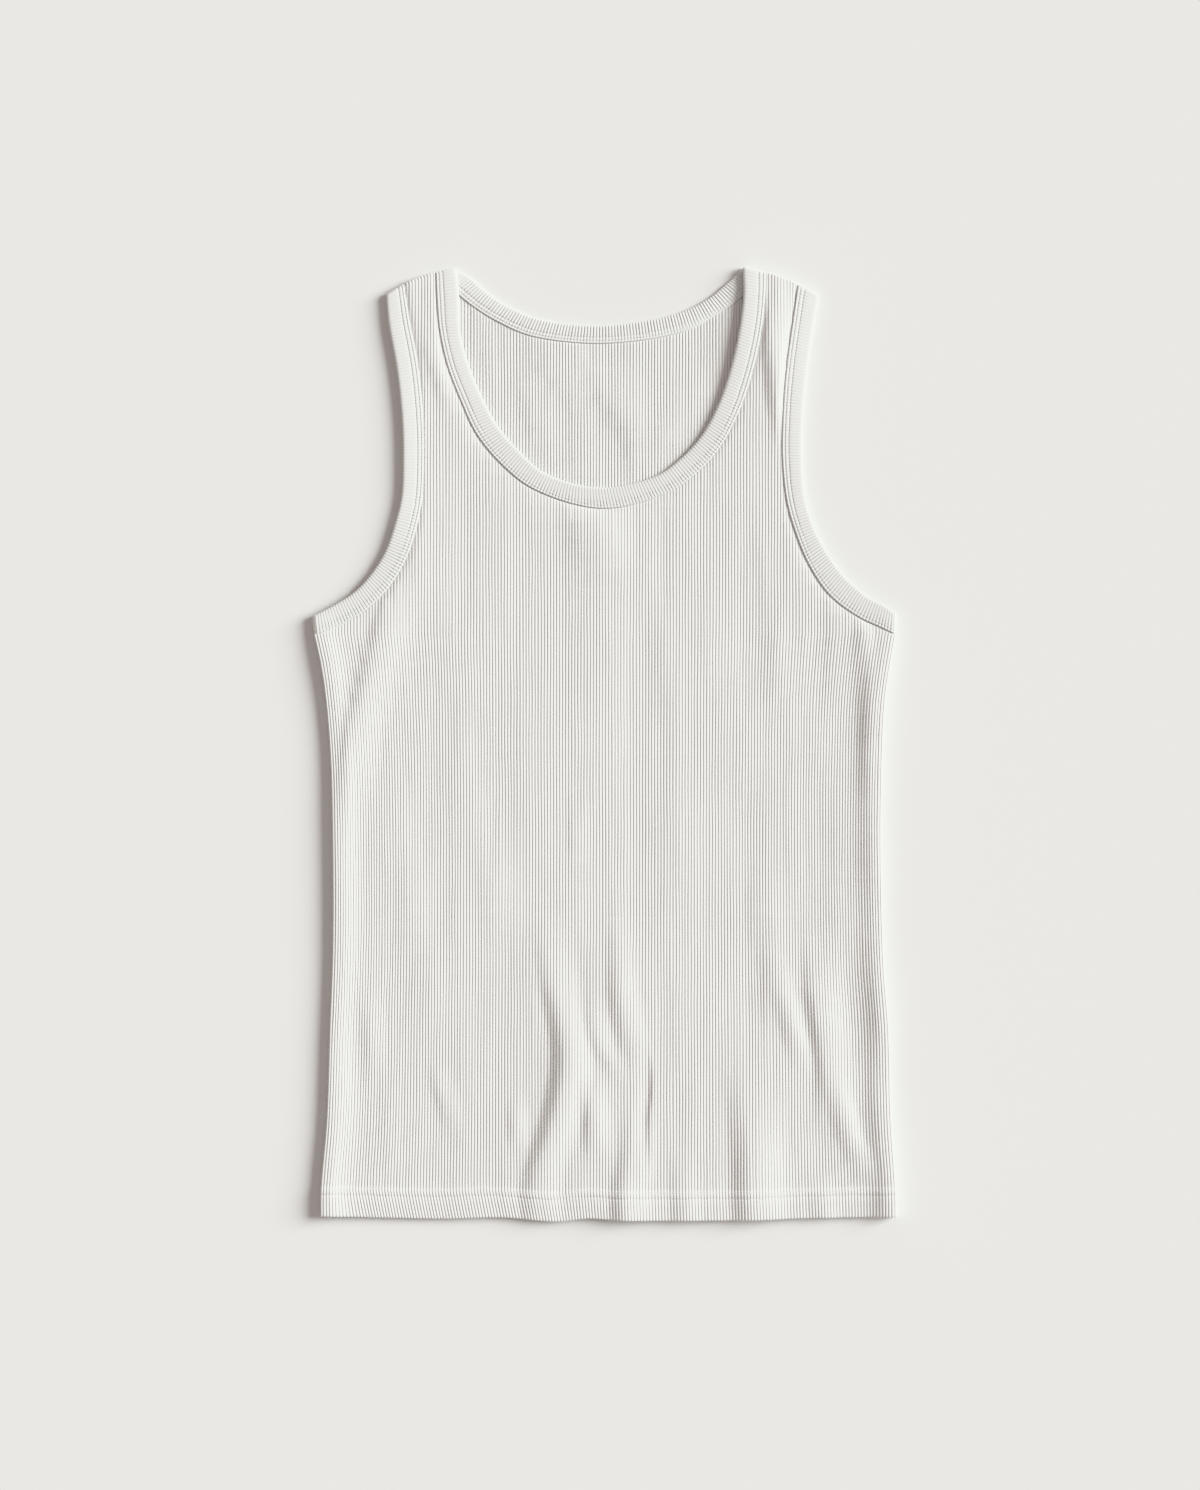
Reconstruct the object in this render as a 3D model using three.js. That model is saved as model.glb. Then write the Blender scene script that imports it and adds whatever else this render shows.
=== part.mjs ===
// A rib-knit tank top that lies flat on its back, front side up, neck towards +Y. Millimetres.
// Front and back panel lie on each other, and one band runs round the neck and each armhole.
import * as THREE from "three";

// Widths across the garment
const ARMPIT_FOLD = 222; // middle line to the folded side, at the armpit
const RIB_COUNT = 188; // ribs across the front
const RIB_PITCH = (2 * ARMPIT_FOLD) / RIB_COUNT;
const RIB_HEIGHT = 0.5;
const SEAM_GAP = 0.3; // between two pieces that are sewn together

// Heights of the layers above the table
const WALL = 1; // knit, without its ribs
const FRONT_UNDERSIDE = 2.5;
const BAND_THICKNESS = 2.2;
const PANEL_MIDDLE = 2; // the two panels meet at this height at the sides and shoulders
const ROLL = PANEL_MIDDLE; // how far the cloth rolls out past a fold
const BAND_MIDDLE = (FRONT_UNDERSIDE + BAND_THICKNESS) / 2;
const LEAST_DEPTH = SEAM_GAP / 2; // from that height to the edge of a panel
const ROLL_ANGLES = [45, 90].map(THREE.MathUtils.degToRad);

// The turned-up hem is two layers of knit
const HEM_DEPTH = 21;
const HEM_STEP = 1.2; // length over which the second layer ends

// Heights along the garment where the panels have a row of points
const SIDE_TOP = 84; // top of the side fold, where the armhole bands sit
const FLAT_FROM = 60; // above this the inside of the front is plain
const LOWER_ROWS = [-295, -235, -165, -75, FLAT_FROM];
const UPPER_ROWS = [165];
const WINDOW_ROWS = [180, 186]; // where the ribs start on the back, seen through the neck
const WINDOW_HALF_WIDTH = 114;
const BACK_SIDE_STRETCH = 180; // beyond this the columns of the back follow the side
const INSIDE_STEP = 4; // the inside of the front has every fourth column
const INNERMOST_STEPS = [0, 0.12, 0.4, 0.75]; // extra columns beside the armholes' innermost points
const LEAST_SPACING = 0.1; // between two columns
const EDGE_CLEARANCE = 2; // from a panel's edge to its nearest row
const INNERMOST_CLEARANCE = 4; // from an armhole's innermost point to the nearest row
const OUTLINE_STEPS = 60; // points on the smooth line through a side's or the hem's table

// Left and right in this file are as seen from above, so the left side is the wearer's right.
// Each side is given by places down its fold.
const SIDE_LEFT = [
  { x: -222, y: 84 },
  { x: -216.8, y: 61 },
  { x: -213, y: 35 },
  { x: -209.3, y: -10 },
  { x: -207.6, y: -82 },
  { x: -207.6, y: -160 },
  { x: -209.6, y: -215 },
  { x: -212.2, y: -290 },
  { x: -216.6, y: -344 },
  { x: -216.6, y: -372 },
];
const SIDE_RIGHT = [
  { x: 222, y: 84 },
  { x: 217, y: 56 },
  { x: 213.5, y: 30 },
  { x: 211.6, y: -10 },
  { x: 210.7, y: -82 },
  { x: 212.8, y: -170 },
  { x: 216.6, y: -221 },
  { x: 218.4, y: -290 },
  { x: 221.8, y: -344 },
  { x: 222.2, y: -372 },
];
const HEM_EDGE = [
  { x: -226, y: -364 },
  { x: -130, y: -366 },
  { x: -85, y: -365 },
  { x: -40, y: -368 },
  { x: -15, y: -365.8 },
  { x: 12, y: -367.2 },
  { x: 110, y: -367 },
  { x: 155, y: -365.6 },
  { x: 226, y: -364.4 },
];

// Bands: the free edge and the sewn edge, a row for each section
const ARMHOLE_LEFT = [
  { edgeX: -168.4, edgeY: 343.1, seamX: -154.7, seamY: 351.5 },
  { edgeX: -166.8, edgeY: 323.6, seamX: -151, seamY: 327.1 },
  { edgeX: -160.3, edgeY: 286.6, seamX: -144.1, seamY: 290.5 },
  { edgeX: -156.4, edgeY: 248.9, seamX: -140.2, seamY: 250.4 },
  { edgeX: -155.6, edgeY: 219.6, seamX: -139.5, seamY: 219.6 },
  { edgeX: -156.8, edgeY: 189.5, seamX: -141, seamY: 187.2 },
  { edgeX: -161.8, edgeY: 168.7, seamX: -146, seamY: 163.4 },
  { edgeX: -168.7, edgeY: 148.7, seamX: -153.3, seamY: 141.8 },
  { edgeX: -178.8, edgeY: 131.8, seamX: -166.4, seamY: 120.2 },
  { edgeX: -191.9, edgeY: 117.1, seamX: -183.4, seamY: 103.2 },
  { edgeX: -208.8, edgeY: 105.9, seamX: -203.4, seamY: 90.9 },
  { edgeX: -223, edgeY: 98.5, seamX: -221.7, seamY: 84 },
];
const ARMHOLE_RIGHT = [
  { edgeX: 164.4, edgeY: 343, seamX: 148.3, seamY: 351.5 },
  { edgeX: 161, edgeY: 323.6, seamX: 144.9, seamY: 328.2 },
  { edgeX: 155.6, edgeY: 286.6, seamX: 139.8, seamY: 290.5 },
  { edgeX: 152.6, edgeY: 253.5, seamX: 137, seamY: 255 },
  { edgeX: 151.8, edgeY: 219.6, seamX: 136.4, seamY: 219.6 },
  { edgeX: 154.1, edgeY: 189.5, seamX: 139.8, seamY: 186.5 },
  { edgeX: 160.3, edgeY: 168, seamX: 146.4, seamY: 162.6 },
  { edgeX: 170.3, edgeY: 147.9, seamX: 156.4, seamY: 137.9 },
  { edgeX: 184.9, edgeY: 127.9, seamX: 172.6, seamY: 114 },
  { edgeX: 202.6, edgeY: 112.5, seamX: 194.9, seamY: 97.1 },
  { edgeX: 215, edgeY: 105.9, seamX: 211.1, seamY: 89.4 },
  { edgeX: 222.2, edgeY: 100.5, seamX: 221.5, seamY: 84.4 },
];
const NECK_FRONT = [
  { edgeX: -114.3, edgeY: 363.7, seamX: -130, seamY: 360.3 },
  { edgeX: -112.5, edgeY: 345.2, seamX: -129.4, seamY: 343 },
  { edgeX: -111.5, edgeY: 316.7, seamX: -127.2, seamY: 318 },
  { edgeX: -106.3, edgeY: 295.1, seamX: -121.2, seamY: 290.5 },
  { edgeX: -96.3, edgeY: 269.7, seamX: -111.3, seamY: 264.3 },
  { edgeX: -83.2, edgeY: 245, seamX: -98.6, seamY: 237.3 },
  { edgeX: -66.3, edgeY: 225, seamX: -77.8, seamY: 212.7 },
  { edgeX: -46.2, edgeY: 207.7, seamX: -53.2, seamY: 194.6 },
  { edgeX: -3.9, edgeY: 196.5, seamX: -1.5, seamY: 180.5 },
  { edgeX: 38.5, edgeY: 205.3, seamX: 46.2, seamY: 191.9 },
  { edgeX: 57.8, edgeY: 218.8, seamX: 68.6, seamY: 206.5 },
  { edgeX: 74, edgeY: 236.5, seamX: 87.1, seamY: 226.1 },
  { edgeX: 87.5, edgeY: 261.6, seamX: 102.5, seamY: 254.3 },
  { edgeX: 97.4, edgeY: 291.6, seamX: 112.9, seamY: 285.1 },
  { edgeX: 104, edgeY: 323.6, seamX: 120.2, seamY: 318.2 },
  { edgeX: 106.3, edgeY: 345.2, seamX: 122.8, seamY: 343.6 },
  { edgeX: 105.9, edgeY: 364.8, seamX: 123.4, seamY: 360.5 },
];
const NECK_BACK = [
  { edgeX: -114.3, edgeY: 363.7, seamX: -130, seamY: 360.3 },
  { edgeX: -104, edgeY: 359, seamX: -117.9, seamY: 349.5 },
  { edgeX: -90.1, edgeY: 346.7, seamX: -100.2, seamY: 335.2 },
  { edgeX: -73.2, edgeY: 335.9, seamX: -81.7, seamY: 324 },
  { edgeX: -50.1, edgeY: 326.7, seamX: -55.5, seamY: 313.2 },
  { edgeX: -1.5, edgeY: 321.7, seamX: -1.5, seamY: 307.8 },
  { edgeX: 55.5, edgeY: 330.9, seamX: 59.3, seamY: 316.7 },
  { edgeX: 79, edgeY: 342.1, seamX: 87.1, seamY: 330.9 },
  { edgeX: 93.2, edgeY: 353.7, seamX: 105.6, seamY: 343.6 },
  { edgeX: 105.9, edgeY: 364.8, seamX: 123.4, seamY: 360.5 },
];
const BAND_STATION = 8; // length between two sections of a band
const PANEL_EDGE_STEPS = 1500;
const BAND_ROLL_ANGLES = [30, 60, 90, 120, 150].map(THREE.MathUtils.degToRad);
const BAND_INSIDE_ROLL = BAND_MIDDLE - BAND_THICKNESS;
const EDGE_ROUNDING = 0.06; // share of a band's width that its rounded free edge takes
const SHOULDER_SLOPE = THREE.MathUtils.degToRad(19.5);
const SHOULDER_BOW = 0.8; // how far the shoulder fold stands out past a straight line

// Soft ridges in the cloth of the front. Each row is a ridge centred on x, y that runs along Y and
// leans by so many mm for each mm of y. It has a width to the left and one to the right, and it
// fades out over its reach.
const FOLDS = [
  { x: 50, y: -300, lean: 0, left: 210, right: 210, reach: 170, height: 2.2 },
  { x: -39, y: -300, lean: 0.03, left: 14, right: 30, reach: 170, height: 3.8 },
  { x: 18, y: -205, lean: -0.12, left: 13, right: 17, reach: 75, height: 2.2 },
  { x: 18.5, y: -340, lean: 0.08, left: 15, right: 20, reach: 80, height: 2.2 },
  { x: 36, y: -285, lean: 0, left: 5, right: 15, reach: 60, height: 1.4 },
  { x: 110.5, y: -345, lean: -0.05, left: 22, right: 34, reach: 110, height: 3 },
  { x: 141, y: -200, lean: -0.24, left: 17, right: 14, reach: 60, height: 2 },
  { x: 169, y: -218, lean: -0.22, left: 11, right: 18, reach: 65, height: 2.2 },
  { x: 177, y: -290, lean: -0.12, left: 16, right: 14, reach: 60, height: 1.3 },
  { x: -188, y: 35, lean: 0.26, left: 10, right: 22, reach: 75, height: 1.6 },
  { x: 203, y: 30, lean: -0.1, left: 11, right: 8, reach: 90, height: 1 },
];
const FOLD_FADE = 14; // the folds end this far inside the side

// Points and triangles of one closed body
class Skin {
  points = [];
  triangles = [];

  point(x, y, z) {
    this.points.push(new THREE.Vector3(x, y, z));
    return this.points.length - 1;
  }

  // A strip between two rows of points. It faces the side from which a runs up on the right of b.
  strip(a, b, along = "y") {
    const at = (list, i) => this.points[list[i]][along] * this.direction(a, b, along);
    let i = 0;
    let j = 0;
    while (i < a.length - 1 || j < b.length - 1) {
      const stepA = j === b.length - 1 || (i < a.length - 1 && at(a, i + 1) <= at(b, j + 1));
      if (stepA) {
        this.triangles.push(a[i], a[i + 1], b[j]);
        i += 1;
      } else {
        this.triangles.push(a[i], b[j + 1], b[j]);
        j += 1;
      }
    }
  }

  direction(a, b, along) {
    const longer = a.length > b.length ? a : b;
    const first = this.points[longer[0]][along];
    return Math.sign(this.points[longer.at(-1)][along] - first) || 1;
  }

  // Two rows of as many points, joined one to one
  ladder(a, b) {
    for (let i = 0; i < a.length - 1; i += 1) {
      this.triangles.push(a[i], a[i + 1], b[i]);
      this.triangles.push(a[i + 1], b[i + 1], b[i]);
    }
  }

  // A face inside a ring of points, facing up or down
  patch(ring, facesUp) {
    const outline = ring.map((k) => new THREE.Vector2(this.points[k].x, this.points[k].y));
    const faces = THREE.ShapeUtils.triangulateShape(outline, []);
    const corners = (face) => face.map((k) => outline[k]);
    const area = faces.reduce((sum, face) => sum + THREE.ShapeUtils.area(corners(face)), 0);
    for (const face of faces) {
      if (area > 0 !== facesUp) face.reverse();
      this.triangles.push(...face.map((k) => ring[k]));
    }
  }

  // Six times the volume, below zero where the faces point inwards
  volume() {
    let sum = 0;
    for (let k = 0; k < this.triangles.length; k += 3) {
      const [a, b, c] = this.triangles.slice(k, k + 3).map((id) => this.points[id]);
      sum += a.dot(b.clone().cross(c));
    }
    return sum;
  }

  mesh(name, material) {
    if (this.volume() < 0) this.triangles.reverse();
    const geometry = new THREE.BufferGeometry().setFromPoints(this.points);
    geometry.setIndex(this.triangles);
    geometry.computeVertexNormals();
    const mesh = new THREE.Mesh(geometry, material);
    mesh.name = name;
    return mesh;
  }
}

// The x, or y, of a table of points at a given y, or x
function valueAt(table, from, to, at) {
  const rows = table[0][from] < table.at(-1)[from] ? table : [...table].reverse();
  const clamped = THREE.MathUtils.clamp(at, rows[0][from], rows.at(-1)[from]);
  const next = Math.max(1, rows.findIndex((row) => row[from] >= clamped));
  const [a, b] = [rows[next - 1], rows[next]];
  return THREE.MathUtils.mapLinear(clamped, a[from], b[from], a[to], b[to]);
}

function smoothTable(table) {
  const curve = new THREE.CatmullRomCurve3(table.map(({ x, y }) => new THREE.Vector3(x, y, 0)));
  return curve.getPoints(OUTLINE_STEPS);
}

const sideLeft = smoothTable(SIDE_LEFT);
const sideRight = smoothTable(SIDE_RIGHT);
const hemEdge = smoothTable(HEM_EDGE);

// The narrowing of the body is taken up close to the sides, so that the ribs hang straight
function ribX(u, y, closeness) {
  const share = (Math.abs(u) / ARMPIT_FOLD) ** closeness;
  const side = u < 0 ? valueAt(sideLeft, "y", "x", y) : valueAt(sideRight, "y", "x", y);
  return y >= SIDE_TOP ? u : u + share * (side - Math.sign(u) * ARMPIT_FOLD);
}

function ribHeight(u) {
  const turns = (u + ARMPIT_FOLD) / RIB_PITCH;
  return RIB_HEIGHT * (1 - Math.abs(2 * (turns - Math.floor(turns)) - 1));
}

const bell = (t) => (Math.abs(t) < 1 ? (1 - t * t) ** 2 : 0);

function foldHeight(x, y) {
  let height = 0;
  for (const fold of FOLDS) {
    const across = x - fold.x - fold.lean * (y - fold.y);
    const width = across < 0 ? fold.left : fold.right;
    height += fold.height * bell(across / width) * bell((y - fold.y) / fold.reach);
  }
  const inside = Math.min(
    x - valueAt(sideLeft, "y", "x", y),
    valueAt(sideRight, "y", "x", y) - x,
  );
  return height * THREE.MathUtils.smoothstep(inside, 0, FOLD_FADE);
}

// One half of a band: its sections, and the edge of the panel that is sewn to it
function halfBand(rows) {
  const edge = new THREE.CatmullRomCurve3(
    rows.map((row) => new THREE.Vector3(row.edgeX, row.edgeY, 0)),
  );
  const seam = new THREE.CatmullRomCurve3(
    rows.map((row) => new THREE.Vector3(row.seamX, row.seamY, 0)),
  );
  const count = Math.round(seam.getLength() / BAND_STATION);
  const sections = Array.from({ length: count + 1 }, (_, k) => ({
    edge: edge.getPoint(k / count),
    seam: seam.getPoint(k / count),
  }));
  const panelEdge = Array.from({ length: PANEL_EDGE_STEPS + 1 }, (_, k) => {
    const a = edge.getPoint(k / PANEL_EDGE_STEPS);
    const b = seam.getPoint(k / PANEL_EDGE_STEPS);
    return b.clone().addScaledVector(b.clone().sub(a).normalize(), SEAM_GAP);
  });
  return { sections, panelEdge };
}

const NOWHERE = new THREE.Vector3();
const shoulderOut = {
  left: new THREE.Vector3(-Math.sin(SHOULDER_SLOPE), Math.cos(SHOULDER_SLOPE), 0),
  right: new THREE.Vector3(Math.sin(SHOULDER_SLOPE), Math.cos(SHOULDER_SLOPE), 0),
};

const armholeLeft = halfBand(ARMHOLE_LEFT);
const armholeRight = halfBand(ARMHOLE_RIGHT);
const neckFront = halfBand(NECK_FRONT);
const neckBack = halfBand(NECK_BACK);

// Where the line x crosses the panel's edge at a band, from the lowest crossing up
function crossings({ panelEdge }, x) {
  const found = [];
  for (let k = 1; k < panelEdge.length; k += 1) {
    const [a, b] = [panelEdge[k - 1], panelEdge[k]];
    if (a.x <= x !== b.x <= x)
      found.push(THREE.MathUtils.mapLinear(x, a.x, b.x, a.y, b.y));
  }
  return found.sort((a, b) => a - b);
}

// Places on a panel's outline: the ends of the shoulder folds and the innermost armhole points
function outlinePlaces(neck) {
  return {
    left: {
      arm: armholeLeft.panelEdge[0],
      neck: neck.panelEdge[0],
      innermost: armholeLeft.panelEdge.reduce((a, b) => (b.x > a.x ? b : a)),
      armhole: armholeLeft,
    },
    right: {
      arm: armholeRight.panelEdge[0],
      neck: neck.panelEdge.at(-1),
      innermost: armholeRight.panelEdge.reduce((a, b) => (b.x < a.x ? b : a)),
      armhole: armholeRight,
    },
  };
}

// The columns of a panel, each a line of points along a rib or between two. The main ones start
// at the hem, from left to right. Those of a strap start at its armhole, from the inside out.
function panelColumns({ neck, rowsAt, keepColumn, closeness }) {
  const places = outlinePlaces(neck);
  const exact = Object.values(places).flatMap(({ neck: corner, innermost }) => {
    const outward = Math.sign(innermost.x);
    return [corner.x, ...INNERMOST_STEPS.map((step) => innermost.x + outward * step)];
  });
  const across = Array.from(
    { length: 2 * RIB_COUNT + 1 },
    (_, k) => -ARMPIT_FOLD + (k * RIB_PITCH) / 2,
  ).filter((u, k) => keepColumn(u, k) && exact.every((x) => Math.abs(x - u) > LEAST_SPACING));

  const column = (u, bottom, top, extra = {}) => {
    const hemTop = bottom + HEM_DEPTH;
    const hemRows = extra.side && !extra.fromHem ? [] : [hemTop, hemTop + HEM_STEP];
    const [low, high] = [bottom + EDGE_CLEARANCE, top - EDGE_CLEARANCE];
    const between = [...hemRows, ...rowsAt(u)].filter((y) => y > low && y < high);
    const levels = [bottom, ...between, top].map((y) => ({ x: ribX(u, y, closeness), y }));
    return { u, levels, ...extra };
  };
  const main = [];
  const straps = { left: [], right: [] };
  for (const u of [...across, ...exact].sort((a, b) => a - b)) {
    const side = u < 0 ? "left" : "right";
    const { arm, neck: corner, innermost, armhole } = places[side];
    const share = (u - arm.x) / (corner.x - arm.x);
    const bow = 4 * SHOULDER_BOW * share * (1 - share);
    const shoulder = THREE.MathUtils.lerp(arm.y, corner.y, share) + bow;
    const hem = valueAt(hemEdge, "x", "y", u);
    if (u === innermost.x) {
      const whole = column(u, hem, shoulder, { side, fromHem: true, split: true });
      const clear = ({ y }) => Math.abs(y - innermost.y) > INNERMOST_CLEARANCE;
      whole.levels = whole.levels.filter(clear);
      whole.levels.push({ x: u, y: innermost.y, split: true });
      whole.levels.sort((a, b) => a.y - b.y);
      main.push(whole);
    } else if (Math.abs(u) > Math.abs(innermost.x)) {
      const atSide = Math.abs(u) > ARMPIT_FOLD - LEAST_SPACING;
      const [low, high] = atSide ? [SIDE_TOP - SEAM_GAP] : crossings(armhole, u);
      main.push(column(u, hem, low));
      if (high && Math.abs(u) < Math.abs(arm.x) - LEAST_SPACING)
        straps[side].push(column(u, high, shoulder, { side }));
    } else if (Math.abs(u) >= Math.abs(corner.x)) {
      const isCorner = u === corner.x;
      main.push(column(u, hem, shoulder, { side, fromHem: true, neckCorner: isCorner }));
    } else {
      main.push(column(u, hem, crossings(neck, u)[0]));
    }
  }
  straps.left.reverse();
  for (const side of ["left", "right"]) {
    const { x, y } = places[side].arm;
    straps[side].push({ u: x, levels: [{ x, y }], side });
  }
  return { main, straps };
}

// A panel has a fine face, with a point on each column and row, and a plain one with fewer
// points. Both are given by their depth, the distance from the height where the panels meet.
function panel(name, material, spec) {
  const skin = new Skin();
  const { main, straps } = panelColumns(spec);

  const place = (face, u, level, angle, out) => {
    const depth = spec.depth[face](u, level) * Math.cos(angle);
    const reach = spec.roll[face] * Math.sin(angle);
    return skin.point(
      level.x + out.x * reach,
      level.y + out.y * reach,
      PANEL_MIDDLE + spec.up * Math.max(LEAST_DEPTH, depth),
    );
  };
  const flat = (face, column, level) => place(face, column.u, level, 0, NOWHERE);
  const rolled = (face, column, level, out) =>
    ROLL_ANGLES.map((angle) => place(face, column.u, level, angle, out));

  for (const column of [...main, ...straps.left, ...straps.right]) {
    const { levels, side } = column;
    column.fine = levels.map((level) => flat("fine", column, level));
    column.splitAt = levels.findIndex((level) => level.split);
    column.plainTop = flat("plain", column, levels.at(-1));
    const splitLevel = levels[column.splitAt];
    column.plainEnd = column.split ? flat("plain", column, splitLevel) : column.plainTop;
    const fromArmhole = side && !column.fromHem && levels.length > 1;
    column.plainStart = fromArmhole ? flat("plain", column, levels[0]) : column.plainTop;
    const out = shoulderOut[side];
    column.fineRoll = side ? rolled("fine", column, levels.at(-1), out) : [];
    column.plainRoll = side ? rolled("plain", column, levels.at(-1), out) : [];
  }

  const face = (facesUp, right, left) =>
    facesUp ? skin.strip(right, left) : skin.strip(left, right);
  const fineUp = spec.up > 0 === spec.fineIsOuter;
  const toShoulder = (column) => [...column.fine, ...column.fineRoll];
  const seenFrom = (column, neighbourIsInward) => {
    if (column.neckCorner && neighbourIsInward) return column.fine;
    if (column.split && !neighbourIsInward) return column.fine.slice(0, column.splitAt + 1);
    return toShoulder(column);
  };
  for (let k = 1; k < main.length; k += 1) {
    const [left, right] = [main[k - 1], main[k]];
    face(fineUp, seenFrom(right, right.side === "right"), seenFrom(left, left.side === "left"));
  }

  // The straps outside the innermost point of each armhole, with the roll at the shoulder
  const border = {};
  for (const side of ["left", "right"]) {
    const isLeft = side === "left";
    const inner = main.find((column) => column.side === side && column.split);
    const outward = [inner, ...straps[side]];
    const fineRows = outward.map(toShoulder);
    fineRows[0] = fineRows[0].slice(inner.splitAt);
    for (let k = 1; k < outward.length; k += 1) {
      const pair = isLeft ? [fineRows[k - 1], fineRows[k]] : [fineRows[k], fineRows[k - 1]];
      face(fineUp, ...pair);
    }
    const strapMain = main.filter((column) => column.side === side);
    const inward = isLeft ? strapMain : [...strapMain].reverse();
    const top = [...straps[side].toReversed(), ...inward];
    for (let k = 1; k < top.length; k += 1) {
      const [a, b] = [top[k - 1], top[k]].map((c) => [c.plainTop, ...c.plainRoll]);
      face(!fineUp, ...(isLeft ? [b, a] : [a, b]));
    }
    const armCorner = top[0];
    const neckCorner = top.at(-1);
    const starts = straps[side].slice(0, -1);
    const rollEnd = (column) => [column.fineRoll.at(-1), column.plainRoll.at(-1)];
    const rollSide = (column) => column.fineRoll.map((id, k) => [id, column.plainRoll[k]]);
    border[side] = [
      ...starts.map((column) => [column.fine[0], column.plainStart]),
      [armCorner.fine.at(-1), armCorner.plainTop],
      ...rollSide(armCorner),
      ...top.slice(1, -1).map(rollEnd),
      ...rollSide(neckCorner).reverse(),
      [neckCorner.fine.at(-1), neckCorner.plainTop],
    ];
    border[`${side}Plain`] = [
      ...starts.map((column) => column.plainStart),
      ...top.map((column) => column.plainTop),
    ];
    if (!isLeft) {
      border[side].reverse();
      border[`${side}Plain`].reverse();
    }
  }

  // The folded sides, rolled over
  const sides = {};
  for (const [side, column] of [["left", main[0]], ["right", main.at(-1)]]) {
    const out = new THREE.Vector3(side === "left" ? -1 : 1, 0, 0);
    const fine = column.levels.map((level) => rolled("fine", column, level, out));
    const plainRolls = column.levels.map((level) => rolled("plain", column, level, out));
    const plainFlat = column.levels.map((level, k) =>
      k === column.levels.length - 1 ? column.plainTop : flat("plain", column, level),
    );
    const fineLists = [column.fine, ...ROLL_ANGLES.map((_, a) => fine.map((ids) => ids[a]))];
    const plainLists = [plainFlat, ...ROLL_ANGLES.map((_, a) => plainRolls.map((ids) => ids[a]))];
    for (const [lists, facesUp] of [[fineLists, fineUp], [plainLists, !fineUp]]) {
      for (let k = 1; k < lists.length; k += 1) {
        const pair = side === "left" ? [lists[k - 1], lists[k]] : [lists[k], lists[k - 1]];
        face(facesUp, ...pair);
      }
    }
    sides[side] = { fineLists, plainLists, plainFlat };
  }

  // The plain face: a coarse grid from the hem up to a level, then one flat patch
  const inGrid = ({ y }, k) => k === 0 || spec.plainRows.includes(y);
  const coarse = main.filter((_, k) => k % INSIDE_STEP === 0 && k > 0 && k < main.length - 2);
  const grid = coarse.map((column) =>
    column.levels.filter(inGrid).map((level) => flat("plain", column, level)),
  );
  const gridTop = main[0].levels.findLastIndex(inGrid);
  const columns = [
    sides.left.plainFlat.slice(0, gridTop + 1),
    ...grid,
    sides.right.plainFlat.slice(0, gridTop + 1),
  ];
  for (let k = 1; k < columns.length; k += 1) face(!fineUp, columns[k], columns[k - 1]);

  const splitLeft = main.findIndex((column) => column.split);
  const splitRight = main.findLastIndex((column) => column.split);
  const neckColumns = main.filter(({ side }, k) => !side && k > splitLeft && k < splitRight);
  const lowLeft = main.slice(0, splitLeft + 1);
  const lowRight = main.slice(splitRight);
  const ring = [
    ...sides.left.plainFlat.slice(gridTop, -1),
    ...lowLeft.map((column) => column.plainEnd),
    ...border.leftPlain,
    ...neckColumns.map((column) => column.plainTop),
    ...border.rightPlain,
    ...lowRight.map((column) => column.plainEnd),
    ...sides.right.plainFlat.slice(gridTop, -1).reverse(),
    ...grid.map((ids) => ids.at(-1)).reverse(),
  ];
  skin.patch(ring, !fineUp);

  // The cut edge all round, clockwise from above
  const endOf = (column) => [
    column.split ? column.fine[column.splitAt] : column.fine.at(-1),
    column.plainEnd,
  ];
  const sideTops = (side) =>
    sides[side].fineLists.map((list, k) => [list.at(-1), sides[side].plainLists[k].at(-1)]).slice(1);
  const top = [
    ...sideTops("left").reverse(),
    ...lowLeft.map(endOf),
    ...border.left,
    ...neckColumns.map(endOf),
    ...border.right,
    ...lowRight.map(endOf),
    ...sideTops("right"),
  ];
  const wall = (join, fine, plain) => (fineUp ? join(fine, plain) : join(plain, fine));
  const ladder = (a, b) => skin.ladder(a, b);
  const strip = (along) => (a, b) => skin.strip(a, b, along);
  wall(ladder, top.map(([fine]) => fine), top.map(([, plain]) => plain));
  wall(strip("y"), sides.left.fineLists.at(-1), sides.left.plainLists.at(-1));
  wall(
    strip("y"),
    sides.right.fineLists.at(-1).toReversed(),
    sides.right.plainLists.at(-1).toReversed(),
  );
  const hemRow = (lists, middle) => [
    ...lists.right.toReversed().map((list) => list[0]),
    ...middle.toReversed(),
    ...lists.left.map((list) => list[0]),
  ];
  const fineHem = hemRow(
    { left: sides.left.fineLists, right: sides.right.fineLists },
    main.slice(1, -1).map((column) => column.fine[0]),
  );
  const plainHem = hemRow(
    { left: sides.left.plainLists, right: sides.right.plainLists },
    grid.map((ids) => ids[0]),
  );
  wall(strip("x"), fineHem, plainHem);
  return skin.mesh(name, material);
}

function hemExtra({ x, y }) {
  return y < valueAt(hemEdge, "x", "y", x) + HEM_DEPTH + HEM_STEP / 2 ? WALL : 0;
}

const inWindow = ({ x, y }) => Math.abs(x) < WINDOW_HALF_WIDTH && y > WINDOW_ROWS[0];

const cotton = () => new THREE.MeshStandardMaterial({ color: 0xf1f1ec, roughness: 0.92 });

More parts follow.
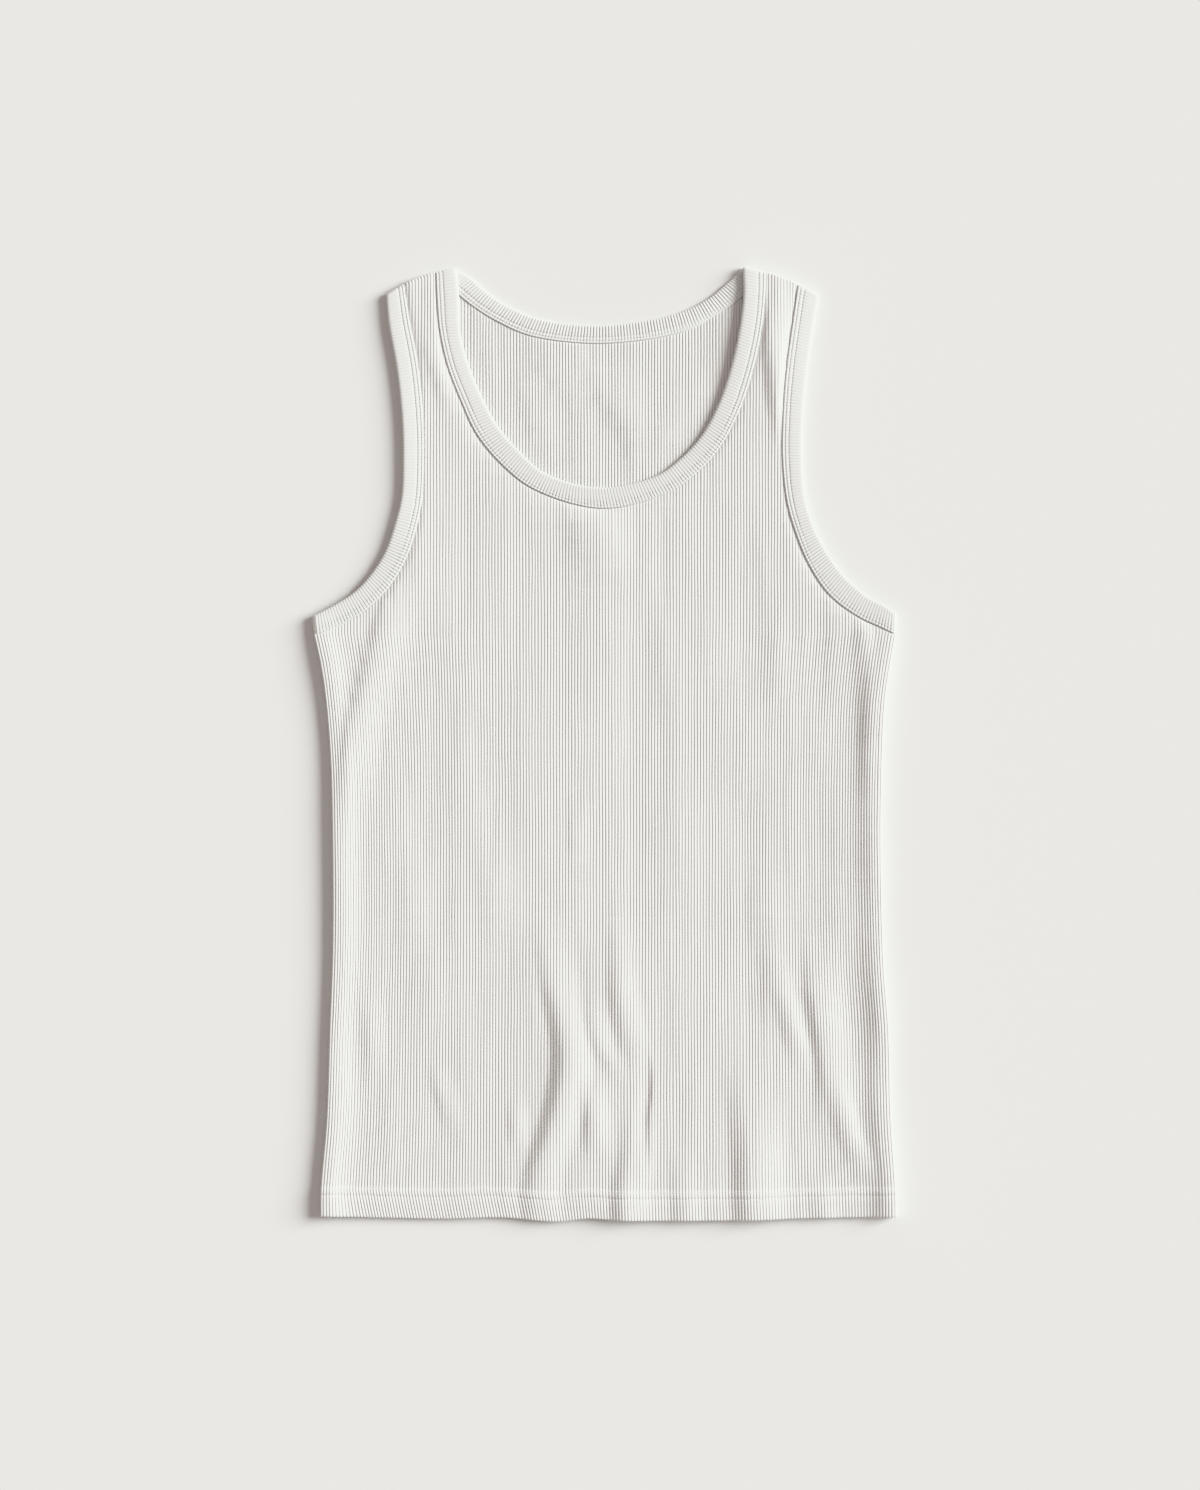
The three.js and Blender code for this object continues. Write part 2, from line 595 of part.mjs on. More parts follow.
const frontPanel = panel("front_panel", cotton(), {
  up: 1,
  neck: neckFront,
  rowsAt: () => [...LOWER_ROWS, ...UPPER_ROWS],
  keepColumn: () => true,
  closeness: 3,
  fineIsOuter: true,
  plainRows: LOWER_ROWS,
  roll: { fine: ROLL, plain: FRONT_UNDERSIDE - PANEL_MIDDLE },
  depth: {
    fine: (u, level) =>
      FRONT_UNDERSIDE - PANEL_MIDDLE + WALL + ribHeight(u) + hemExtra(level) +
      foldHeight(level.x, level.y),
    plain: (u, level) =>
      FRONT_UNDERSIDE - PANEL_MIDDLE + (level.y < FLAT_FROM ? foldHeight(level.x, level.y) : 0),
  },
});

const backPanel = panel("back_panel", cotton(), {
  up: -1,
  neck: neckBack,
  rowsAt: (u) => (Math.abs(u) < BACK_SIDE_STRETCH ? WINDOW_ROWS : LOWER_ROWS),
  keepColumn: (u, k) => k % 2 === 0 || Math.abs(u) < WINDOW_HALF_WIDTH,
  closeness: 10,
  fineIsOuter: false,
  plainRows: [],
  roll: { fine: PANEL_MIDDLE - WALL, plain: ROLL },
  depth: {
    fine: (u, level) =>
      PANEL_MIDDLE - WALL - hemExtra(level) - (inWindow(level) ? ribHeight(u) : 0),
    plain: () => PANEL_MIDDLE,
  },
});

// A band is a closed ring of sections. It lies on the front, rolls over at a fold to the back
// and comes round again at the next fold.
function band(name, material, front, back, folds) {
  const rolls = (section, out, angles) => angles.map((angle) => ({ section, out, angle }));
  const over = BAND_ROLL_ANGLES;
  const underneath = over.toReversed();
  const stations = [
    ...rolls(front.sections[0], folds[0], underneath),
    ...front.sections.map((section) => ({ section, out: NOWHERE, angle: 0 })),
    ...rolls(front.sections.at(-1), folds[1], over),
    ...back.sections.toReversed().map((section) => ({ section, out: NOWHERE, angle: Math.PI })),
  ];
  const outer = BAND_THICKNESS + BAND_INSIDE_ROLL;
  const middle = (outer + BAND_INSIDE_ROLL) / 2;
  const corners = [
    { across: EDGE_ROUNDING, radius: BAND_INSIDE_ROLL },
    { across: 0, radius: middle },
    { across: EDGE_ROUNDING, radius: outer },
    { across: 1, radius: outer },
    { across: 1, radius: BAND_INSIDE_ROLL },
  ];
  const skin = new Skin();
  const loops = stations.map(({ section, out, angle }) =>
    corners.map(({ across, radius }) => {
      const at = section.edge.clone().lerp(section.seam, across);
      at.addScaledVector(out, radius * Math.sin(angle));
      return skin.point(at.x, at.y, BAND_MIDDLE + radius * Math.cos(angle));
    }),
  );
  loops.forEach((loop, k) => {
    const next = loops[(k + 1) % loops.length];
    skin.ladder([...loop, loop[0]], [...next, next[0]]);
  });
  return skin.mesh(name, material);
}

const sideOut = { left: new THREE.Vector3(-1, 0, 0), right: new THREE.Vector3(1, 0, 0) };
const neckBinding = band("neck_binding", cotton(), neckFront, neckBack, [
  shoulderOut.left,
  shoulderOut.right,
]);
const rightArmhole = band("armhole_binding_right", cotton(), armholeLeft, armholeLeft, [
  shoulderOut.left,
  sideOut.left,
]);
const leftArmhole = band("armhole_binding_left", cotton(), armholeRight, armholeRight, [
  shoulderOut.right,
  sideOut.right,
]);

const tankTop = new THREE.Group();
tankTop.add(frontPanel, backPanel, neckBinding, leftArmhole, rightArmhole);
const box = new THREE.Box3().setFromObject(tankTop);
tankTop.position.set(-(box.min.x + box.max.x) / 2, -(box.min.y + box.max.y) / 2, -box.min.z);

export default tankTop;
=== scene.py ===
import math

import bpy
import numpy as np
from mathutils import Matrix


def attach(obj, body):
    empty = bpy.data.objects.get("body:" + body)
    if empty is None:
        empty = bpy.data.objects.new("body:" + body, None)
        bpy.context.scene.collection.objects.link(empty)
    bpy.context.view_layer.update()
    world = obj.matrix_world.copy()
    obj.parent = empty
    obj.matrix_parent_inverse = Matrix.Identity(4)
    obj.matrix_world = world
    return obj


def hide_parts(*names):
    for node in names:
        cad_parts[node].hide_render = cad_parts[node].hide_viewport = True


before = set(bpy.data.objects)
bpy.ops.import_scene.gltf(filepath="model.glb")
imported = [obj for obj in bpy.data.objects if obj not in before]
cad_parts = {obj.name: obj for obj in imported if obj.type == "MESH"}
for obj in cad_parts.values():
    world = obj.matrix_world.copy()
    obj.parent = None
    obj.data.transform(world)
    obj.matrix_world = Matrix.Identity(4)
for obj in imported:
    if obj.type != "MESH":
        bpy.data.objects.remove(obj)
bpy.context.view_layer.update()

# The garment lies on a pale matt table and is seen from straight above. A low, soft light from
# the right, slightly from the neck's side, models its ribs, and a pale room fills the shadows.
VIEW_CENTRE = (-0.0035, -0.0009)
VIEW_LENGTH = 1.148
LENS = 85
SENSOR = 36
LIGHT_ELEVATION = math.radians(24)
LIGHT_TURN = math.radians(17)
TABLE_COLOUR = (0.85, 0.86, 0.835, 1)
TABLE_REACH = 40

camera = bpy.data.objects.new("camera", bpy.data.cameras.new("camera"))
bpy.context.scene.collection.objects.link(camera)
camera.data.lens = LENS
camera.data.sensor_fit = "VERTICAL"
camera.data.sensor_height = SENSOR
camera.location = (*VIEW_CENTRE, VIEW_LENGTH * LENS / SENSOR)
bpy.context.scene.camera = camera
bpy.context.scene.view_settings.view_transform = "Khronos PBR Neutral"

window = bpy.data.objects.new("window_light", bpy.data.lights.new("window_light", "SUN"))
bpy.context.scene.collection.objects.link(window)
window.data.energy = 5.05
window.data.color = (0.96, 1, 1)
window.data.angle = math.radians(33)
window.rotation_euler = (0, math.pi / 2 - LIGHT_ELEVATION, LIGHT_TURN)

room = bpy.data.worlds.new("room")
bpy.context.scene.world = room
room.use_nodes = True
room.node_tree.nodes["Background"].inputs["Color"].default_value = (1, 0.875, 0.86, 1)
room.node_tree.nodes["Background"].inputs["Strength"].default_value = 0.405

table_mesh = bpy.data.meshes.new("table")
table_mesh.from_pydata([(x * TABLE_REACH, y * TABLE_REACH, 0)
                        for x, y in ((-1, -1), (1, -1), (1, 1), (-1, 1))], [], [(0, 1, 2, 3)])
table = bpy.data.objects.new("table", table_mesh)
bpy.context.scene.collection.objects.link(table)
table_paint = bpy.data.materials.new("table_paint")
table_paint.use_nodes = True
shader = table_paint.node_tree.nodes["Principled BSDF"]
shader.inputs["Base Color"].default_value = TABLE_COLOUR
shader.inputs["Roughness"].default_value = 0.9
shader.inputs["Specular IOR Level"].default_value = 0.1
table_mesh.materials.append(table_paint)

# The front panel: one piece of rib-knit cotton, cut with armholes and a deep round neck. Its ribs
# run from the hem to the shoulders. It folds over to the back panel at the sides and shoulders.
# Sizes are in millimetres. Right and left are the wearer's, so the right is at -X.
MM = 0.001
CENTRE = (0.382, 0.616)  # moves the tables of places to the middle of the garment
ARMPIT_FOLD = 222  # half the width from armpit to armpit
RIB_COUNT = 188
RIB_PITCH = 2 * ARMPIT_FOLD / RIB_COUNT
RIB_SAMPLES = (0, 0.17, 0.39, 0.61, 0.83)  # the columns of points in a rib, as shares of it
RIB_HEIGHT = 0.47
RIB_ROUNDNESS = 2.6
WALL = 1.0
MEETING_HEIGHT = 2.0  # of the line where front and back meet at a fold
FRONT_UNDERSIDE = 2.5
ROLL = 2.0  # how far the outer face reaches out past a fold
SIDE_TOP = 84  # where the armholes' bands meet at the side
SIDE_CLOSENESS = 3  # a higher one leaves more of the middle ribs straight
BAND_OVERLAP = 0.6  # how far the panel's raw edge reaches into a band
SHOULDER_BOW = 0.8  # how far a shoulder bows out from a straight line
SHOULDER_SLOPE = math.radians(19.5)
LOOP_HEIGHT = 0.9  # of one row of the knit

# The hem is turned up and sewn with two rows. Below them it has slipped sideways.
HEM_DEPTH = 21
HEM_ROWS = (21.5, 16.6)  # heights of the sewing above the hem's edge
HEM_ROW_WIDTH = 0.7
HEM_ROW_DEPTH = 0.45
HEM_STEP = (0.3, 1.6)  # where the second layer ends, above the upper row
HEM_ROUND = 1.6  # how far the rounding of the folded edge reaches
HEM_SLIP = 0.2  # for each millimetre below the sewing
HEM_SLIP_STARTS = (-ARMPIT_FOLD, -190)  # it grows, lessens and ends between these places across
HEM_SLIP_LESSENS = (-70, 20)
HEM_SLIP_ENDS = (170, ARMPIT_FOLD)
HEM_SLIP_LEFT = 0.2  # the share that stays past the middle

# Random changes of the cloth: strength, step across and along, and seed
RIB_UNEVENNESS = (0.13, (1, 42), 11)
RIB_WANDER = (0.3, (7, 34), 21)
WANDER_FROM = (20, 40)  # it starts and is full at these heights above the hem's edge
SWELLS = [(0.17, (11, 70), 3), (0.52, (27, 62), 8)]
LATTICE = 64

# Places down the folded sides, and along the hem
SIDE_RIGHT = [(-222, 84), (-216.8, 61), (-213, 35), (-209.3, -10), (-207.6, -82),
              (-207.6, -160), (-209.6, -215), (-212.2, -290), (-216.6, -344), (-216.6, -372)]
SIDE_LEFT = [(222, 84), (217, 56), (213.5, 30), (211.6, -10), (210.7, -82),
             (212.8, -170), (216.6, -221), (218.4, -290), (221.8, -344), (222.2, -372)]
HEM_EDGE = [(-226, -364), (-130, -366), (-85, -365), (-40, -368), (-15, -365.8),
            (12, -367.2), (110, -367), (155, -365.6), (226, -364.4)]

# Each row is a place on a band: x and y of its free edge, then x and y of its sewn edge
ARMHOLE_RIGHT = [
    (-168.4, 343.1, -154.7, 351.5), (-166.8, 323.6, -151, 327.1), (-160.3, 286.6, -144.1, 290.5),
    (-156.4, 248.9, -140.2, 250.4), (-155.6, 219.6, -139.5, 219.6), (-156.8, 189.5, -141, 187.2),
    (-161.8, 168.7, -146, 163.4), (-168.7, 148.7, -153.3, 141.8), (-178.8, 131.8, -166.4, 120.2),
    (-191.9, 117.1, -183.4, 103.2), (-208.8, 105.9, -203.4, 90.9), (-223, 98.5, -221.7, 84),
]
ARMHOLE_LEFT = [
    (164.4, 343, 148.3, 351.5), (161, 323.6, 144.9, 328.2), (155.6, 286.6, 139.8, 290.5),
    (152.6, 253.5, 137, 255), (151.8, 219.6, 136.4, 219.6), (154.1, 189.5, 139.8, 186.5),
    (160.3, 168, 146.4, 162.6), (170.3, 147.9, 156.4, 137.9), (184.9, 127.9, 172.6, 114),
    (202.6, 112.5, 194.9, 97.1), (215, 105.9, 211.1, 89.4), (222.2, 100.5, 221.5, 84.4),
]
NECK_FRONT = [
    (-114.3, 363.7, -130, 360.3), (-112.5, 345.2, -129.4, 343), (-111.5, 316.7, -127.2, 318),
    (-106.3, 295.1, -121.2, 290.5), (-96.3, 269.7, -111.3, 264.3), (-83.2, 245, -98.6, 237.3),
    (-66.3, 225, -77.8, 212.7), (-46.2, 207.7, -53.2, 194.6), (-3.9, 196.5, -1.5, 180.5),
    (38.5, 205.3, 46.2, 191.9), (57.8, 218.8, 68.6, 206.5), (74, 236.5, 87.1, 226.1),
    (87.5, 261.6, 102.5, 254.3), (97.4, 291.6, 112.9, 285.1), (104, 323.6, 120.2, 318.2),
    (106.3, 345.2, 122.8, 343.6), (105.9, 364.8, 123.4, 360.5),
]

# Each fold is a line down the cloth, its width to the -X and +X side of the line, and its height
FRONT_FOLDS = [
    ([(50, -130), (50, -470)], 210, 210, 2.2),
    ([(-47, -122), (-45.5, -145), (-42, -170), (-36, -198), (-29.5, -233), (-30.5, -256),
      (-36, -282), (-43, -306), (-52, -334), (-58, -412)], 14.5, 23, 3.5),
    ([(-12, -190), (-9, -214), (-4, -234), (5, -248), (18, -262)], 9, 13, 1.3),
    ([(-10, -254), (-9.5, -275), (-8.5, -292), (-8, -325)], 12, 16, 2.0),
    ([(9, -138), (10.5, -168), (12.5, -194), (17, -218), (22, -240), (25, -258)], 13, 17, 1.8),
    ([(24, -272), (22, -300), (20, -322), (16, -344), (14, -440)], 14, 22, 2.6),
    ([(30.5, -228), (32.8, -250), (33, -268), (30.8, -290), (31.6, -332)], 11, 4, -1.2),
    ([(58, -305), (60, -340), (62, -440)], 13, 16, 1.3),
    ([(-70, -270), (-69.6, -291), (-68, -316)], 8, 13, 0.9),
    ([(107, -245), (110.5, -298), (112, -332), (113, -440)], 18, 32, 3.4),
    ([(126, -140), (128, -170), (130, -200), (131, -225)], 12, 14, 0.9),
    ([(134, -165), (137, -185), (143, -212), (150, -238), (154, -262)], 13, 10, 1.4),
    ([(157, -145), (160, -184), (163, -202), (166, -220), (169, -240), (170, -262), (168.5, -305)],
     11, 27, 2.2),
    ([(173, -240), (181, -272), (187, -298), (196, -318), (205, -350)], 15, 12, 1.7),
    ([(163, -318), (166, -345), (168, -430)], 13, 15, 1.4),
    ([(-134, -242), (-128, -262), (-121, -284), (-118, -304)], 9, 14, 0.9),
    ([(-160, 135), (-167, 105), (-171, 88), (-176, 72), (-185, 42.5), (-192, 19), (-197, -5),
      (-202, -30), (-206, -80)], 11, 27, 2.9),
    ([(-183, -185), (-181, -215), (-180, -240), (-181, -268)], 10, 14, 0.9),
    ([(-24, -40), (-22, -66), (-22, -95)], 9, 14, 0.6),
    ([(194, 105), (199, 79), (204, 40), (205, -10), (204, -70)], 13, 9, 1.1),
    ([(127, 348), (128, 318), (129.5, 300), (132.5, 270), (136, 246), (139, 220)], 11, 16, 2.3),
    ([(131.5, 375), (132.5, 355), (133.5, 343), (135, 318)], 6, 8, 0.6),
    ([(-127, 358), (-128, 340), (-126, 312), (-124, 300)], 8, 9, 1.2),
    ([(-137, 320), (-134.5, 299), (-127, 280), (-120, 258)], 8, 12, 1.4),
    ([(-8, 200), (-7, 176), (-5, 158), (0, 122)], 34, 30, 1.9),
    ([(196, 140), (197, 112), (200, 80), (204, 50)], 10, 9, 1.2),
    ([(-150, -80), (-148, -120), (-151, -170)], 16, 26, 0.8),
    ([(-90, -60), (-86, -110), (-84, -160)], 20, 24, 0.7),
    ([(121, -95), (120, -130), (123, -170)], 14, 22, 0.9),
]
# How far the front springs up off the back: a place, its reach along X and Y, and the height
SPRING = [
    (112, 322, 42, 80, 3.3), (-122, 345, 45, 60, 0.6), (-165, 240, 30, 110, 1.5),
    (165, 240, 30, 110, 0.6), (-222, 95, 45, 45, 1.3), (222, 95, 45, 45, 1.3),
]
# The same along the folded sides: a place down the side and the height there
SIDE_SPRING = {
    "right": [(-380, 2.5), (-300, 2.7), (-236, 2.4), (-150, 2.7), (-40, 2.8), (40, 2.6), (120, 2.6)],
    "left": [(-380, 3.5), (-335, 3.7), (-285, 2.8), (-255, 1.8), (-216, 3.4), (-176, 3.3), (-140, 2.1),
             (-88, 3.3), (-56, 2.3), (-30, 3.1), (-10, 2.4), (4, 3.2), (40, 3.3), (84, 2.1), (120, 2)],
}
SIDE_SPRING_REACH = (3.5, 11)  # its full height reaches so far in, and then it falls off
SIDE_SPRING_ENDS = (30, 60)  # it starts to fade so far above the armpit, and over this length
FOLD_FADE = 14  # the folds run out over this distance from the sides


def smooth_curve(points, count):
    """Points on a smooth curve through the given ones, which share it evenly."""
    given = np.asarray(points, float)
    ends = 2 * given[[0, -1]] - given[[1, -2]]
    knots = np.vstack([ends[:1], given, ends[1:]])
    share = np.linspace(0, len(given) - 1, count + 1)
    start = np.minimum(share.astype(int), len(given) - 2)
    t = (share - start)[:, None]
    a, b, c, d = (knots[start + k] for k in range(4))
    ab, bc, cd = (np.sqrt(np.linalg.norm(q - p, axis=1, keepdims=True))
                  for p, q in ((a, b), (b, c), (c, d)))
    leave = bc * ((b - a) / ab - (c - a) / (ab + bc) + (c - b) / bc)
    arrive = bc * ((c - b) / bc - (d - b) / (bc + cd) + (d - c) / cd)
    bend = 3 * (c - b) - 2 * leave - arrive
    close = leave + arrive - 2 * (c - b)
    return b + t * (leave + t * (bend + t * close))


def smoothstep(value, low, high):
    """A share from nothing at the low value to one at the high one, easing in and out."""
    share = np.clip((value - low) / (high - low), 0, 1)
    return share * share * (3 - 2 * share)


side_lines = {side: smooth_curve(points, 120)[::-1]
              for side, points in (("right", SIDE_RIGHT), ("left", SIDE_LEFT))}
hem_line = smooth_curve(HEM_EDGE, 120)


def side_x(side, y):
    """Where the folded side lies at a height up the table."""
    return np.interp(y, side_lines[side][:, 1], side_lines[side][:, 0])


def hem_y(x):
    """Where the hem's folded edge lies."""
    return np.interp(x, hem_line[:, 0], hem_line[:, 1])


def rib_x(across, y):
    """Where a rib lies: the body narrows close to its sides, so the middle ribs hang straight."""
    share = (np.abs(across) / ARMPIT_FOLD) ** SIDE_CLOSENESS
    side = np.where(across < 0, side_x("right", y), side_x("left", y))
    moved = across + share * (side - np.sign(across) * ARMPIT_FOLD)
    return np.where(y >= SIDE_TOP, across, moved)


def random_change(across, along, kind):
    """A slow random change over two directions, up to its strength either way."""
    strength, steps, seed = kind
    values = np.random.RandomState(seed).uniform(-1, 1, (LATTICE, LATTICE))
    p, q = np.asarray(across) / steps[0], np.asarray(along) / steps[1]
    i, j = np.floor(p).astype(int), np.floor(q).astype(int)
    s, t = smoothstep(p - i, 0, 1), smoothstep(q - j, 0, 1)
    corner = [values[(i + a) % LATTICE, (j + b) % LATTICE]
              for a, b in ((0, 0), (1, 0), (0, 1), (1, 1))]
    low, high = corner[0] * (1 - s) + corner[1] * s, corner[2] * (1 - s) + corner[3] * s
    return strength * (low * (1 - t) + high * t)


def rib_profile(count):
    """A broad round ridge, with a narrow valley at each whole count."""
    share = 2 * (count - np.floor(count)) - 1
    return 1 - np.abs(share) ** RIB_ROUNDNESS


def rib_height(count, along, height=RIB_HEIGHT):
    """Height of the ribs, no two quite alike, where so many ribs lie before a place."""
    uneven = 1 + random_change(np.floor(count), along, RIB_UNEVENNESS)
    return height * uneven * rib_profile(count)


def fold_height(x, y, folds):
    """Height of the folds, which run out at both their ends and at the sides of the garment."""
    height = np.zeros_like(x)
    for line, before, after, rise in folds:
        path = smooth_curve(line, 24)
        low, high = path[-1, 1], path[0, 1]
        across = x - np.interp(y, path[::-1, 1], path[::-1, 0])
        along = np.clip((y - (low + high) / 2) / ((high - low) / 2), -1, 1)
        shape = np.clip(1 - (across / np.where(across < 0, before, after)) ** 2, 0, 1) ** 2
        height += rise * shape * (1 - along**2) ** 1.5
    inside = np.minimum(x - side_x("right", y), side_x("left", y) - x)
    return height * smoothstep(inside, 0, FOLD_FADE)


def spring_height(x, y):
    """How far the front stands up where the folded cloth and the bands hold it off the back."""
    height = sum(rise * np.exp(-(((x - at_x) / reach_x) ** 2) - ((y - at_y) / reach_y) ** 2)
                 for at_x, at_y, reach_x, reach_y, rise in SPRING)
    for side, inside in (("right", x - side_x("right", y)), ("left", side_x("left", y) - x)):
        down = smooth_curve(SIDE_SPRING[side], 60)
        beyond = np.maximum(0, inside - SIDE_SPRING_REACH[0]) / SIDE_SPRING_REACH[1]
        rise = np.interp(y, down[:, 0], down[:, 1]) * np.exp(-beyond**2)
        height += rise * smoothstep(SIDE_TOP + SIDE_SPRING_ENDS[0] - y, 0, SIDE_SPRING_ENDS[1])
    return height


def wander(across, y):
    """The small sideways wander of a rib, above the hem."""
    return random_change(across, y, RIB_WANDER) * smoothstep(y - hem_y(across), *WANDER_FROM)


def slow_swell(x, y):
    """Faint long streaks over the whole front, as cloth has that was folded before."""
    return sum(random_change(x, y, kind) for kind in SWELLS)


EDGE_POINTS = 1500


def band_lines(rows):
    """Points on a band's free edge and on its sewn edge, at even lengths along the band."""
    places = np.asarray(rows, float)
    free, sewn = (smooth_curve(edge, EDGE_POINTS) for edge in (places[:, :2], places[:, 2:]))
    middle = (free + sewn) / 2
    length = np.concatenate([[0], np.cumsum(np.linalg.norm(np.diff(middle, axis=0), axis=1))])
    even = np.linspace(0, length[-1], EDGE_POINTS + 1)
    free, sewn = (np.stack([np.interp(even, length, line[:, k]) for k in (0, 1)], 1)
                  for line in (free, sewn))
    return free, sewn, length[-1]


armhole_lines = {"right": band_lines(ARMHOLE_RIGHT), "left": band_lines(ARMHOLE_LEFT)}
neck_front_lines = band_lines(NECK_FRONT)


def cut_edge(lines):
    """The panel's raw edge, a little way inside the band."""
    free, sewn, _ = lines
    inward = free - sewn
    return sewn + BAND_OVERLAP * inward / np.linalg.norm(inward, axis=1, keepdims=True)


def crossings(line, x):
    """Places up the panel at which the line crosses x, from the lowest up."""
    a, b = line[:-1], line[1:]
    hit = (a[:, 0] <= x) != (b[:, 0] <= x)
    share = (x - a[hit, 0]) / (b[hit, 0] - a[hit, 0])
    return np.sort(a[hit, 1] + share * (b[hit, 1] - a[hit, 1]))


SAME_LEVEL = 0.4  # points of two columns that are joined straight across differ by less
ROW_GAP = 1
SPLIT_GAP = 3


def strip(left, right, level):
    """Faces that join two columns of points and face up."""
    faces = []
    i = j = 0
    while i < len(left) - 1 or j < len(right) - 1:
        up_left = level[left[i + 1]] if i < len(left) - 1 else math.inf
        up_right = level[right[j + 1]] if j < len(right) - 1 else math.inf
        if abs(up_left - up_right) < SAME_LEVEL:
            faces.append((left[i], right[j], right[j + 1], left[i + 1]))
            i += 1
            j += 1
        elif up_left < up_right:
            faces.append((left[i], right[j], left[i + 1]))
            i += 1
        else:
            faces.append((left[i], right[j], right[j + 1]))
            j += 1
    return faces


ROLL_TURNS = [math.radians(a) for a in (4, 14, 28, 44, 60, 74, 84, 90)]
ROLL_FULLNESS = 0.55  # one gives a round roll, less a squarer one
ROLL_LEVEL = 1000  # keeps the rows of a shoulder roll above every other
SIDE_FOLD = 1
SHOULDER_FOLD = 2


def lay_panel(across, neck_lines, rows, hem_rows, edge_rows):
    """One layer of a panel as columns of points along its ribs.

    The points have a place across, a height, a turn round a fold and the side of that fold.
    """
    neck = cut_edge(neck_lines)
    arms = {side: cut_edge(lines) for side, lines in armhole_lines.items()}
    inner = {side: line[np.argmin(np.abs(line[:, 0]))] for side, line in arms.items()}
    corner = {"right": neck[0], "left": neck[-1]}
    points = {"across": [], "y": [], "turn": [], "fold": []}
    level = []

    def add(u, y, turn=0, fold=0):
        """One more point, and its number."""
        points["across"].append(u)
        points["y"].append(y)
        points["turn"].append(turn)
        points["fold"].append(fold)
        level.append(ROLL_LEVEL + turn if fold == SHOULDER_FOLD else y)
        return len(level) - 1

    def span(u, low, high, from_hem, to_shoulder, split=None):
        """A column's points between two heights, and how many come before the shoulder's roll."""
        start = [low, *(low + d for d in (hem_rows if from_hem else edge_rows))]
        end = [high] if to_shoulder else [*(high - d for d in reversed(edge_rows)), high]
        start = [y for y in start if y < (low + high) / 2 or y == low]
        end = [y for y in end if y > (low + high) / 2]
        between = [y for y in rows if start[-1] + ROW_GAP < y < end[0] - ROW_GAP]
        if split is not None:
            between = sorted([y for y in between if abs(y - split) > SPLIT_GAP] + [split])
        ids = [add(u, y) for y in [*start, *between, *end]]
        flat = len(ids)
        if to_shoulder:
            ids += [add(u, high, turn, SHOULDER_FOLD) for turn in ROLL_TURNS]
        return {"ids": ids, "flat": flat}

    columns = []
    for u in across:
        side = "right" if u < 0 else "left"
        hem = float(hem_y(u))
        arm_x, arm_y = arms[side][0]
        neck_x, neck_y = corner[side]
        share = (u - arm_x) / (neck_x - arm_x)
        shoulder = arm_y + share * (neck_y - arm_y) + 4 * SHOULDER_BOW * share * (1 - share)
        if abs(u) > abs(inner[side][0]):
            found = crossings(arms[side], u)
            low = found[0] if len(found) else SIDE_TOP + BAND_OVERLAP
            spans = [span(u, hem, low, True, False)]
            if len(found) > 1 and abs(u) < abs(arm_x):
                spans.append(span(u, found[1], shoulder, False, True))
            columns.append({"spans": spans, "whole": False})
        elif abs(u) > abs(neck_x):
            spans = [span(u, hem, shoulder, True, True, split=float(inner[side][1]))]
            columns.append({"spans": spans, "whole": True, "side": side})
        else:
            columns.append({"spans": [span(u, hem, crossings(neck, u)[0], True, False)],
                            "whole": False})

    faces = []
    for a, b in zip(columns, columns[1:]):
        lists = [[s["ids"] for s in column["spans"]] for column in (a, b)]
        if len(lists[0]) != len(lists[1]):
            short = 0 if len(lists[0]) < len(lists[1]) else 1
            if (a, b)[short]["whole"]:
                ids = lists[short][0]
                height = inner[(a, b)[short]["side"]][1]
                cut = min(range(len(ids)), key=lambda k: abs(level[ids[k]] - height))
                lists[short] = [ids[: cut + 1], ids[cut:]]
        elif a["whole"] != b["whole"]:
            lists = [[column["spans"][0]["ids"][: column["spans"][0]["flat"]]] for column in (a, b)]
        for left, right in zip(*lists):
            faces += strip(left, right, level)

    for column, sign in ((columns[0], -1), (columns[-1], 1)):
        last = column["spans"][0]["ids"]
        for turn in ROLL_TURNS:
            rolled = [add(points["across"][k], points["y"][k], turn, SIDE_FOLD) for k in last]
            pair = (rolled, last) if sign < 0 else (last, rolled)
            faces += strip(*pair, level)
            last = rolled
    return {name: np.array(values, float) for name, values in points.items()}, faces


def border_loop(faces):
    """The points round a layer's border, in the direction of its faces."""
    edges = {(face[k - 1], face[k]) for face in faces for k in range(len(face))}
    following = {a: b for a, b in edges if (b, a) not in edges}
    loop = [min(following)]
    while following[loop[-1]] != loop[0]:
        loop.append(following[loop[-1]])
    return loop


def rim(outer_loop, inner_loop, place):
    """Faces that close the wall between the borders of two layers."""
    outer_loop = [*outer_loop, outer_loop[0]]
    inner_loop = [*inner_loop, inner_loop[0]]
    faces = []
    i = j = 0
    while i < len(outer_loop) - 1 or j < len(inner_loop) - 1:
        step_outer = math.inf if i == len(outer_loop) - 1 else np.linalg.norm(
            place[outer_loop[i + 1]] - place[inner_loop[j]])
        step_inner = math.inf if j == len(inner_loop) - 1 else np.linalg.norm(
            place[outer_loop[i]] - place[inner_loop[j + 1]])
        if step_outer < step_inner:
            faces.append((outer_loop[i + 1], outer_loop[i], inner_loop[j]))
            i += 1
        else:
            faces.append((outer_loop[i], inner_loop[j], inner_loop[j + 1]))
            j += 1
    return faces


def in_metres(places):
    """Places of the tables as the frame has them, with the middle of the garment at zero."""
    return ((places + (*CENTRE, 0)) * MM).tolist()


